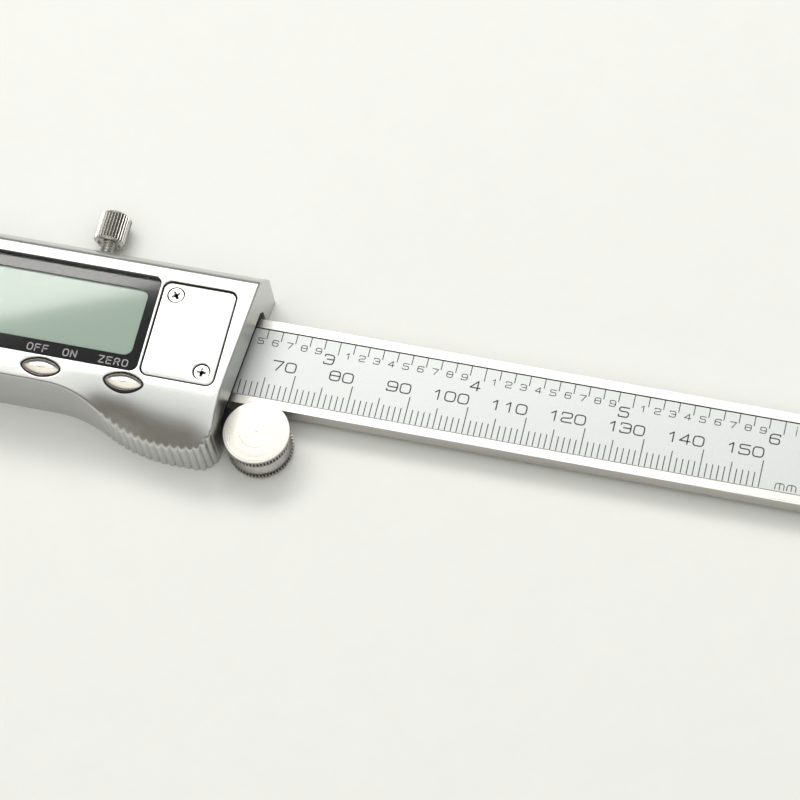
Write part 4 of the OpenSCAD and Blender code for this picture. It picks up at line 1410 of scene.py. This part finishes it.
class CALIPER_OT_roller(bpy.types.Operator):
    """Build the thumb roller's two knurled discs, its axle and its bracket"""

    bl_idname = "caliper.roller"
    bl_label = "Thumb roller"

    def execute(self, context):
        scene = settings()
        lo, hi = box("thumb_roller_upper")
        low, low_hi = box("thumb_roller_lower")
        cx, cy = (lo.x + hi.x) / 2, (lo.y + hi.y) / 2
        r = (hi.x - lo.x) / 2
        turned = finish_material(
            "turned_nickel", tuple(c * 0.86 for c in scene.caliper_colours.nickel), metallic=1.0,
            roughness=(0.22, 0.36), scale=3600,
            tone=0.10, bump=0.6, centre=(cx * MM, cy * MM, 0), smudge=(120, 0.4),
        )  # fmt: skip
        dark = finish_material(
            "knurl_nickel", tuple(c * 0.86 for c in scene.caliper_colours.nickel), metallic=1.0,
            roughness=(0.24, 0.40), scale=2600, tone=0.22, bump=0.2, smudge=(200, 0.7),
        )  # fmt: skip
        top = hi.z
        tooth = 0.3
        knurl_top, knurl_low = top - 0.55, top - 2.2
        foot = lo.z
        cap = lathe(
            [(1.21, foot), (3.38, foot), (3.4, top - 2.45), (r - 0.75, top - 2.4), (r - tooth, knurl_low - 0.05),
             (r - tooth, knurl_top), (r - 0.06, knurl_top + 0.02), (r, knurl_top + 0.1), (r, top - 0.16),
             (r - 0.04, top - 0.06), (r - 0.14, top), (0.25, top), (0.22, top - 0.02), (0.02, top - 0.03)],
            (cx, cy, 0), steps=120,
        )  # fmt: skip
        count = scene.caliper_turned.roller_teeth
        half = math.pi * r / count * 0.5

        def tooth_shape(z0, z1):
            a = [(r - tooth - 0.1, -half), (r - 0.03, -half * 0.72), (r - 0.03, half * 0.72), (r - tooth - 0.1, half)]
            verts = [(x, y, z0) for x, y in a] + [(x, y, z1) for x, y in a]
            verts[1] = (verts[1][0] - 0.1, *verts[1][1:])
            verts[2] = (verts[2][0] - 0.1, *verts[2][1:])
            return verts, [(0, 3, 2, 1), (4, 5, 6, 7), (0, 1, 5, 4), (1, 2, 6, 5), (2, 3, 7, 6), (3, 0, 4, 7)]

        def teeth(name, z0, z1):
            shape = template(name, *tooth_shape(z0, z1))
            made = grown(
                name, ring_tree, [(0, 0, 0)], dark, Count=count, Centre=(cx * MM, cy * MM, 0), Axis_turn=(0, 0, 0),
                Template=shape,
            )  # fmt: skip
            drop(shape)
            return made

        # dark sleeves behind the teeth and round the hub between the discs: painted shade in the slots and in the gap
        shade = finish_material(
            "slot_shade", (0.035, 0.032, 0.028), metallic=0.3, roughness=(0.5, 0.7), scale=2600, tone=0.4, bump=0.1
        )
        sleeves = joined(
            lathe([(r - tooth + 0.02, knurl_low + 0.03), (r - tooth + 0.02, knurl_top - 0.02)], (cx, cy, 0), steps=120),
            lathe([(r - tooth + 0.02, low.z + 0.34), (r - tooth + 0.02, 1.72)], (cx, cy, 0), steps=120),
            lathe([(hub_r() + 0.03, 2.75), (hub_r() + 0.03, top - 2.5)], (cx, cy, 0), steps=90),
        )
        add_piece("roller_slots", *sleeves, shade, "roller", "roller_metal", weighted=False)
        upper = add_piece("roller_cap", *cap, turned, "roller", "roller_metal")
        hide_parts("thumb_roller_upper")
        add_piece(
            "roller_cap_teeth", *teeth("cap_teeth", knurl_low, knurl_top + 0.01), dark, "roller", "roller_metal",
            smooth=False, weighted=False,
        )  # fmt: skip
        base = lathe(
            [(2.1, 0.8), (2.1, low.z + 0.02), (2.2, low.z), (r - 0.6, low.z), (r - 0.35, low.z + 0.2),
             (r - tooth, low.z + 0.3), (r - tooth, 1.75), (r - 0.45, 1.95), (hub_r() + 0.35, 2.55), (hub_r(), 2.7),
             (hub_r(), low_hi.z), (1.21, low_hi.z), (1.21, 0.8)],
            (cx, cy, 0), steps=120, closed_ends=False,
        )  # fmt: skip
        lower = add_piece("roller_base", *base, dark, "roller", "roller_metal")
        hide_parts("thumb_roller_lower")
        add_piece(
            "roller_base_teeth", *teeth("base_teeth", low.z + 0.3, 1.8), dark, "roller", "roller_metal",
            smooth=False, weighted=False,
        )  # fmt: skip
        # near-black: dark steel, darkened further as painted shade of the gap between the slider frame and the roller
        black = finish_material(
            "blackened_steel", (0.035, 0.035, 0.038), metallic=0.6, roughness=(0.3, 0.5), scale=2500, tone=0.3, bump=0.15
        )
        bevelled_copy("roller_bracket_leaf", "roller_bracket", black, "slider", "bracket_black", width=0.08)
        steel = finish_material(
            "axle_steel", (0.66, 0.65, 0.63), metallic=1.0, roughness=(0.25, 0.4), scale=3000, tone=0.1, bump=0.1
        )
        bevelled_copy("roller_axle_screw", "roller_axle", steel, "roller", "screw_steel", width=0.06)
        spots = screw_spots("bracket_screws", box("bracket_screws")[1].z)
        screw_set(
            "bracket_screw_heads", "bracket_screws", spots, 1.1, 0.45, "slider", "screw_steel", steel,
            shank=(0.58, box("bracket_screws")[0].z - box("bracket_screws")[1].z),
        )  # fmt: skip
        return {"FINISHED"}


def hub_r():
    return 3.4


class CALIPER_OT_beam(bpy.types.Operator):
    """Build the beam with its jaws, the scale film and the end stop"""

    bl_idname = "caliper.beam"
    bl_label = "Beam"

    def execute(self, context):
        scene = settings()
        colours = scene.caliper_colours
        ground = finish_material(
            "ground_steel", colours.steel, metallic=1.0, roughness=(0.22, 0.36), stretch=(0.015, 1, 1), scale=4200,
            tone=0.10, bump=0.25, smudge=(30, 0.5),
        )  # fmt: skip
        bevelled_copy("beam_steel", "beam", ground, "beam", "ground_steel", width=0.14)
        film = finish_material(
            "scale_film", colours.film, metallic=0.35, roughness=(0.32, 0.42), stretch=(1, 1, 1), scale=7000, tone=0.07,
            bump=0.12, smudge=(40, 0.5),
        )  # fmt: skip
        lo, hi = box("scale_label")
        verts, faces = plate(round_rect(lo.x, hi.x, lo.y, hi.y, 0.25), hi.z, lo.z, 0.03)
        label = add_piece("scale_film_strip", verts, faces, film, "beam", "scale_print")
        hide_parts("scale_label")
        stop = finish_material(
            "stop_steel", colours.frame_steel, metallic=1.0, roughness=(0.28, 0.42), stretch=(1, 0.05, 1), scale=3000,
            tone=0.1, bump=0.2,
        )  # fmt: skip
        bevelled_copy("end_stop_plate", "end_stop", stop, "beam", "frame_steel", width=0.1)
        low = box("end_stop_screws")[0].z
        spots = screw_spots("end_stop_screws", low)
        screw_set(
            "end_stop_screw_heads", "end_stop_screws", spots, 1.4, 0.46, "beam", "screw_steel", stop, under=True,
            shank=(0.78, -(box("end_stop_screws")[1].z - low)),
        )  # fmt: skip
        board = finish_material(
            "scale_board", (0.05, 0.16, 0.09), roughness=(0.35, 0.5), scale=1500, tone=0.25, bump=0.1
        )
        paint_node("scale_circuit", board)
        return {"FINISHED"}


def paint_node(node, material):
    """Gives a CAD node its finished material."""
    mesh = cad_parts[node].data
    mesh.materials.clear()
    mesh.materials.append(material)


class CALIPER_OT_scale(bpy.types.Operator):
    """Print the graduations and numbers on the scale film"""

    bl_idname = "caliper.scale"
    bl_label = "Scale"

    def execute(self, context):
        scene = settings()
        sizes = scene.caliper_scale
        ink = finish_material(
            "scale_ink", scene.caliper_colours.ink, roughness=(0.4, 0.55), scale=9000, tone=0.35, bump=0.05
        )
        lo, hi = box("scale_label")
        zero = jaw_zero()
        face, thick = hi.z, sizes.ink / MM

        def row(name, count, pitch, base, direction, lengths, every, width):
            return grown(
                name, graduation_tree, [], ink, Count=count, Pitch=pitch * MM, Start=zero * MM, Base_line=base * MM,
                Direction=direction, Height=(face + thick / 2) * MM, Short=lengths[0] * MM, Middle=lengths[1] * MM,
                Long=lengths[2] * MM, Middle_every=every[0], Long_every=every[1], Width=width, Thickness=thick * MM,
            )  # fmt: skip

        mm_base, inch_base = lo.y + 0.06, hi.y + 0.0
        metric = row("metric", 151, 1.0, mm_base, 1.0, (2.6, 3.7, 4.9), (5.0, 10.0), sizes.line_width)
        inches = row("inches", 61, 2.54, inch_base, -1.0, (1.75, 1.75, 2.4), (5.0, 10.0), sizes.inch_line_width)
        words = []
        big, small, stroke = sizes.number_height / MM, sizes.small_height / MM, sizes.stroke / MM
        for value in range(0, 151, 10):
            shift = -0.15 if value else 0.4
            words.append(
                word_mesh(str(value), zero + value + shift, mm_base + 5.25, big, stroke, face, face + thick, wide=1.0, gap=0.16)
            )
        for value in range(1, 61):
            x = zero + value * 2.54
            if value % 10 == 0:
                words.append(
                    word_mesh(str(value // 10), x - 0.35, inch_base - 4.4, big, stroke, face, face + thick, wide=0.95)
                )
            else:
                words.append(
                    word_mesh(str(value % 10), x - 0.32, inch_base - 2.82, small, 0.15, face, face + thick, wide=0.95)
                )
        words.append(word_mesh("mm", zero + 156.2, mm_base + 0.2, 1.7, 0.15, face, face + thick, wide=0.95, gap=0.2))
        words.append(word_mesh("in", zero + 156.6, inch_base - 2.2, 1.7, 0.15, face, face + thick, wide=0.8, gap=0.1))
        marks = joined(metric, inches, *words)
        add_piece("scale_marks", *marks, ink, "beam", "scale_print", smooth=False, weighted=False)
        return {"FINISHED"}


def jaw_zero():
    """x of the closed jaws' faces."""
    return box("beam")[0].x + 16.5


class CALIPER_OT_frame(bpy.types.Operator):
    """Build the slider's frame with its jaws, the depth rod and the small fixings"""

    bl_idname = "caliper.frame"
    bl_label = "Slider frame"

    def execute(self, context):
        colours = settings().caliper_colours
        steel = finish_material(
            "machined_steel", colours.frame_steel, metallic=1.0, roughness=(0.26, 0.42), stretch=(1, 0.03, 1),
            scale=3800, tone=0.12, bump=0.25, smudge=(40, 0.5),
        )  # fmt: skip
        bevelled_copy("slider_frame_steel", "slider_frame", steel, "slider", "frame_steel", width=0.1)
        rod = finish_material(
            "rod_steel", colours.steel, metallic=1.0, roughness=(0.2, 0.34), stretch=(0.02, 1, 1), scale=4200, tone=0.1,
            bump=0.2,
        )  # fmt: skip
        bevelled_copy("depth_rod_steel", "depth_rod", rod, "slider", "ground_steel", width=0.1)
        bright = finish_material(
            "fixing_steel", (0.6, 0.59, 0.57), metallic=1.0, roughness=(0.25, 0.4), scale=3200, tone=0.12, bump=0.1
        )
        low = box("casing_screws")[0].z
        spots = screw_spots("casing_screws", low)
        screw_set(
            "casing_screw_heads", "casing_screws", spots, 1.4, 0.4, "slider", "screw_steel", bright, under=True,
            shank=(0.78, -(box("casing_screws")[1].z - low)),
        )  # fmt: skip
        return {"FINISHED"}


class CALIPER_OT_inside(bpy.types.Operator):
    """Finish the pieces inside the casing that keep their CAD shapes"""

    bl_idname = "caliper.inside"
    bl_label = "Inside"

    def execute(self, context):
        colours = settings().caliper_colours
        bronze = finish_material(
            "bronze", colours.bronze, metallic=1.0, roughness=(0.25, 0.42), scale=2600, tone=0.18, bump=0.15
        )
        steel = finish_material(
            "small_steel", (0.55, 0.54, 0.52), metallic=1.0, roughness=(0.28, 0.45), scale=2600, tone=0.12, bump=0.1
        )
        looks = {
            "gib_strip": bronze, "battery_spring": bronze, "battery_clip": bronze, "lock_pad": bronze,
            "gib_screws": finish_material("blued_screw", (0.05, 0.05, 0.06), metallic=0.7, roughness=(0.3, 0.45), tone=0.2),
            "depth_rod_rivet": steel, "quartz_crystal": steel,
            "battery_cell": finish_material(
                "cell_steel", (0.72, 0.71, 0.69), metallic=1.0, roughness=(0.15, 0.28), stretch=(0.1, 1, 1), scale=2600,
                tone=0.08, bump=0.1,
            ),
            "circuit_board": finish_material(
                "solder_mask", (0.02, 0.16, 0.07), roughness=(0.3, 0.45), scale=1300, tone=0.3, bump=0.15, coat=0.4
            ),
            "chip_seal": finish_material("chip_resin", (0.012, 0.012, 0.013), roughness=(0.25, 0.4), scale=900, tone=0.4, bump=0.3),
            "zebra_strips": finish_material(
                "zebra_rubber", (0.55, 0.30, 0.33), roughness=(0.6, 0.75), stretch=(6, 0.1, 0.1), scale=2500, tone=0.5, bump=0.1
            ),
            "lcd_holder": finish_material("holder_plastic", (0.62, 0.62, 0.58), roughness=(0.45, 0.6), scale=1800, tone=0.06, bump=0.1),
            "rubber_keypad": finish_material("keypad_rubber", (0.06, 0.06, 0.065), roughness=(0.6, 0.75), scale=2000, tone=0.2, bump=0.15),
        }  # fmt: skip
        for node, material in looks.items():
            paint_node(node, material)
        return {"FINISHED"}


class CALIPER_OT_stage(bpy.types.Operator):
    """Build the floor, the light and the camera"""

    bl_idname = "caliper.stage"
    bl_label = "Stage"

    def execute(self, context):
        scene = settings()
        stage = scene.caliper_stage
        paper = finish_material(
            "pale_floor", scene.caliper_colours.floor, roughness=(0.7, 0.8), scale=120, tone=0.012, bump=0.02,
            smudge=(8, 0.3),
        )  # fmt: skip
        mesh = bpy.data.meshes.new("floor")
        reach = 3.0
        corners = [(-reach, -reach, 0), (reach, -reach, 0), (reach, reach, 0), (-reach, reach, 0)]
        mesh.from_pydata(corners, [], [(0, 1, 2, 3)])
        mesh.materials.append(paper)
        floor = bpy.data.objects.new("floor", mesh)
        floor.location.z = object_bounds()[0][2]
        scene.collection.objects.link(floor)
        floor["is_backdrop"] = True

        zero = jaw_zero() * MM
        beam_top = box("beam")[1].z * MM
        camera = bpy.data.objects.new("camera", bpy.data.cameras.new("camera"))
        right = Vector((0.96887, 0.23112, -0.08874))
        up = Vector((-0.17471, 0.89226, 0.41636))
        back = Vector((0.17541, -0.38789, 0.90486))
        turn = Matrix((right, up, back)).transposed()
        camera.matrix_world = Matrix.Translation(
            Vector((0.18364 + zero, -0.21273, 0.49099 + beam_top))
        ) @ turn.to_4x4()
        camera.data.sensor_width = 36
        camera.data.lens = stage.lens
        camera.data.clip_end = 20
        scene.collection.objects.link(camera)
        scene.camera = camera

        # its lower edge passes over (-0.28, 0.39) at 0.9 m, which the window mirrors as a slanting bright band
        edge = Vector((0.915, 0.403, 0.0))
        across = Vector((-0.403, 0.915, 0.0))
        middle = Vector((-0.28, 0.395, 0.9)) + across * 0.225 + edge * 0.1
        light = bpy.data.lights.new("key_softbox", "AREA")
        light.shape, light.size, light.size_y = "RECTANGLE", 0.85, 0.45
        light.energy, light.color = stage.softbox, (1.0, 0.995, 0.97)
        lamp = bpy.data.objects.new("key_softbox", light)
        facing = Matrix((edge, across, Vector((0, 0, 1)))).transposed().to_4x4()
        lamp.matrix_world = Matrix.Translation(middle) @ facing
        scene.collection.objects.link(lamp)

        world = bpy.data.worlds.new("studio")
        world.use_nodes = True
        tree = world.node_tree
        place = tree.nodes.new("ShaderNodeTexCoord").outputs["Generated"]
        parts = tree.nodes.new("ShaderNodeSeparateXYZ")
        tree.links.new(place, parts.inputs[0])
        ramp = tree.nodes.new("ShaderNodeValToRGB")
        ramp.color_ramp.interpolation = "EASE"
        stops = [(0.0, (0.50, 0.50, 0.48)), (0.49, (0.30, 0.30, 0.29)), (0.54, (0.11, 0.112, 0.112)),
                 (0.64, (0.17, 0.172, 0.17)), (0.76, (0.50, 0.505, 0.50)), (0.88, (1.12, 1.13, 1.10)),
                 (1.0, (1.35, 1.36, 1.32))]  # fmt: skip
        ramp.color_ramp.elements[0].position = stops[0][0]
        ramp.color_ramp.elements[0].color = (*stops[0][1], 1)
        ramp.color_ramp.elements[1].position = stops[-1][0]
        ramp.color_ramp.elements[1].color = (*stops[-1][1], 1)
        for position, tint in stops[1:-1]:
            ramp.color_ramp.elements.new(position).color = (*tint, 1)
        rise = tree.nodes.new("ShaderNodeMath")
        rise.operation = "MULTIPLY_ADD"
        rise.inputs[1].default_value = rise.inputs[2].default_value = 0.5
        tree.links.new(parts.outputs["Z"], rise.inputs[0])
        tree.links.new(rise.outputs[0], ramp.inputs["Fac"])
        # a dim flag beside the softbox, and warmer shade low on the near side
        apart = tree.nodes.new("ShaderNodeVectorMath")
        apart.operation = "DISTANCE"
        apart.inputs[1].default_value = (-0.265, 0.335, 0.90)
        tree.links.new(place, apart.inputs[0])
        flag = ranged(tree, apart.outputs["Value"], 0.075, 0.13, 0.16, 1.0)
        near = ranged(tree, parts.outputs["Y"], -0.1, -0.7, 0.0, 1.0)
        low = ranged(tree, parts.outputs["Z"], 0.35, 0.65, 1.0, 0.0)
        shade = math_node(tree, "MULTIPLY", near, low)
        warm = tree.nodes.new("ShaderNodeMix")
        warm.data_type = "RGBA"
        warm.inputs["B"].default_value = (0.21, 0.18, 0.145, 1)
        tree.links.new(shade, warm.inputs["Factor"])
        tree.links.new(ramp.outputs["Color"], warm.inputs["A"])
        far = ranged(tree, parts.outputs["Y"], 0.3, 0.75, 0.0, 1.0)
        cool = tree.nodes.new("ShaderNodeMix")
        cool.data_type = "RGBA"
        cool.inputs["B"].default_value = (0.15, 0.162, 0.168, 1)
        shade = math_node(tree, "MULTIPLY", far, ranged(tree, parts.outputs["Z"], 0.35, 0.66, 1.0, 0.0))
        tree.links.new(shade, cool.inputs["Factor"])
        tree.links.new(warm.outputs["Result"], cool.inputs["A"])
        dim = tree.nodes.new("ShaderNodeVectorMath")
        dim.operation = "SCALE"
        tree.links.new(cool.outputs["Result"], dim.inputs[0])
        tree.links.new(flag, dim.inputs["Scale"])
        tree.links.new(dim.outputs[0], tree.nodes["Background"].inputs["Color"])
        tree.nodes["Background"].inputs["Strength"].default_value = stage.sky
        scene.world = world
        scene.view_settings.view_transform = "Standard"
        return {"FINISHED"}


class CALIPER_PT_panel(bpy.types.Panel):
    """Lists the caliper's pieces and their sizes"""

    bl_idname = "CALIPER_PT_panel"
    bl_label = "Caliper"
    bl_space_type = "VIEW_3D"
    bl_region_type = "UI"
    bl_category = "Caliper"

    def draw(self, context):
        layout = self.layout
        for operator in OPERATORS:
            layout.operator(operator.bl_idname)
        for name in PROPERTIES:
            column = layout.column(align=True)
            group = getattr(context.scene, name)
            for key in group.__annotations__:
                column.prop(group, key)


PROPERTIES = {
    "caliper_casing": CasingSizes,
    "caliper_scale": ScaleSizes,
    "caliper_turned": TurnedSizes,
    "caliper_colours": Colours,
    "caliper_stage": StageSizes,
}
OPERATORS = (
    CALIPER_OT_stage,
    CALIPER_OT_beam,
    CALIPER_OT_scale,
    CALIPER_OT_frame,
    CALIPER_OT_casing,
    CALIPER_OT_wiper,
    CALIPER_OT_window,
    CALIPER_OT_buttons,
    CALIPER_OT_battery_cover,
    CALIPER_OT_lock_screw,
    CALIPER_OT_roller,
    CALIPER_OT_inside,
)


def register():
    for group in PROPERTIES.values():
        bpy.utils.register_class(group)
    for name, group in PROPERTIES.items():
        setattr(bpy.types.Scene, name, PointerProperty(type=group))
    for operator in OPERATORS:
        bpy.utils.register_class(operator)
    bpy.utils.register_class(CALIPER_PT_panel)


def unregister():
    bpy.utils.unregister_class(CALIPER_PT_panel)
    for operator in reversed(OPERATORS):
        bpy.utils.unregister_class(operator)
    for name, group in PROPERTIES.items():
        delattr(bpy.types.Scene, name)
        bpy.utils.unregister_class(group)


def main():
    register()
    for operator in OPERATORS:
        family, name = operator.bl_idname.split(".")
        if getattr(getattr(bpy.ops, family), name)() != {"FINISHED"}:
            raise RuntimeError(f"{operator.bl_idname} did not finish")


if __name__ == "__main__":
    main()
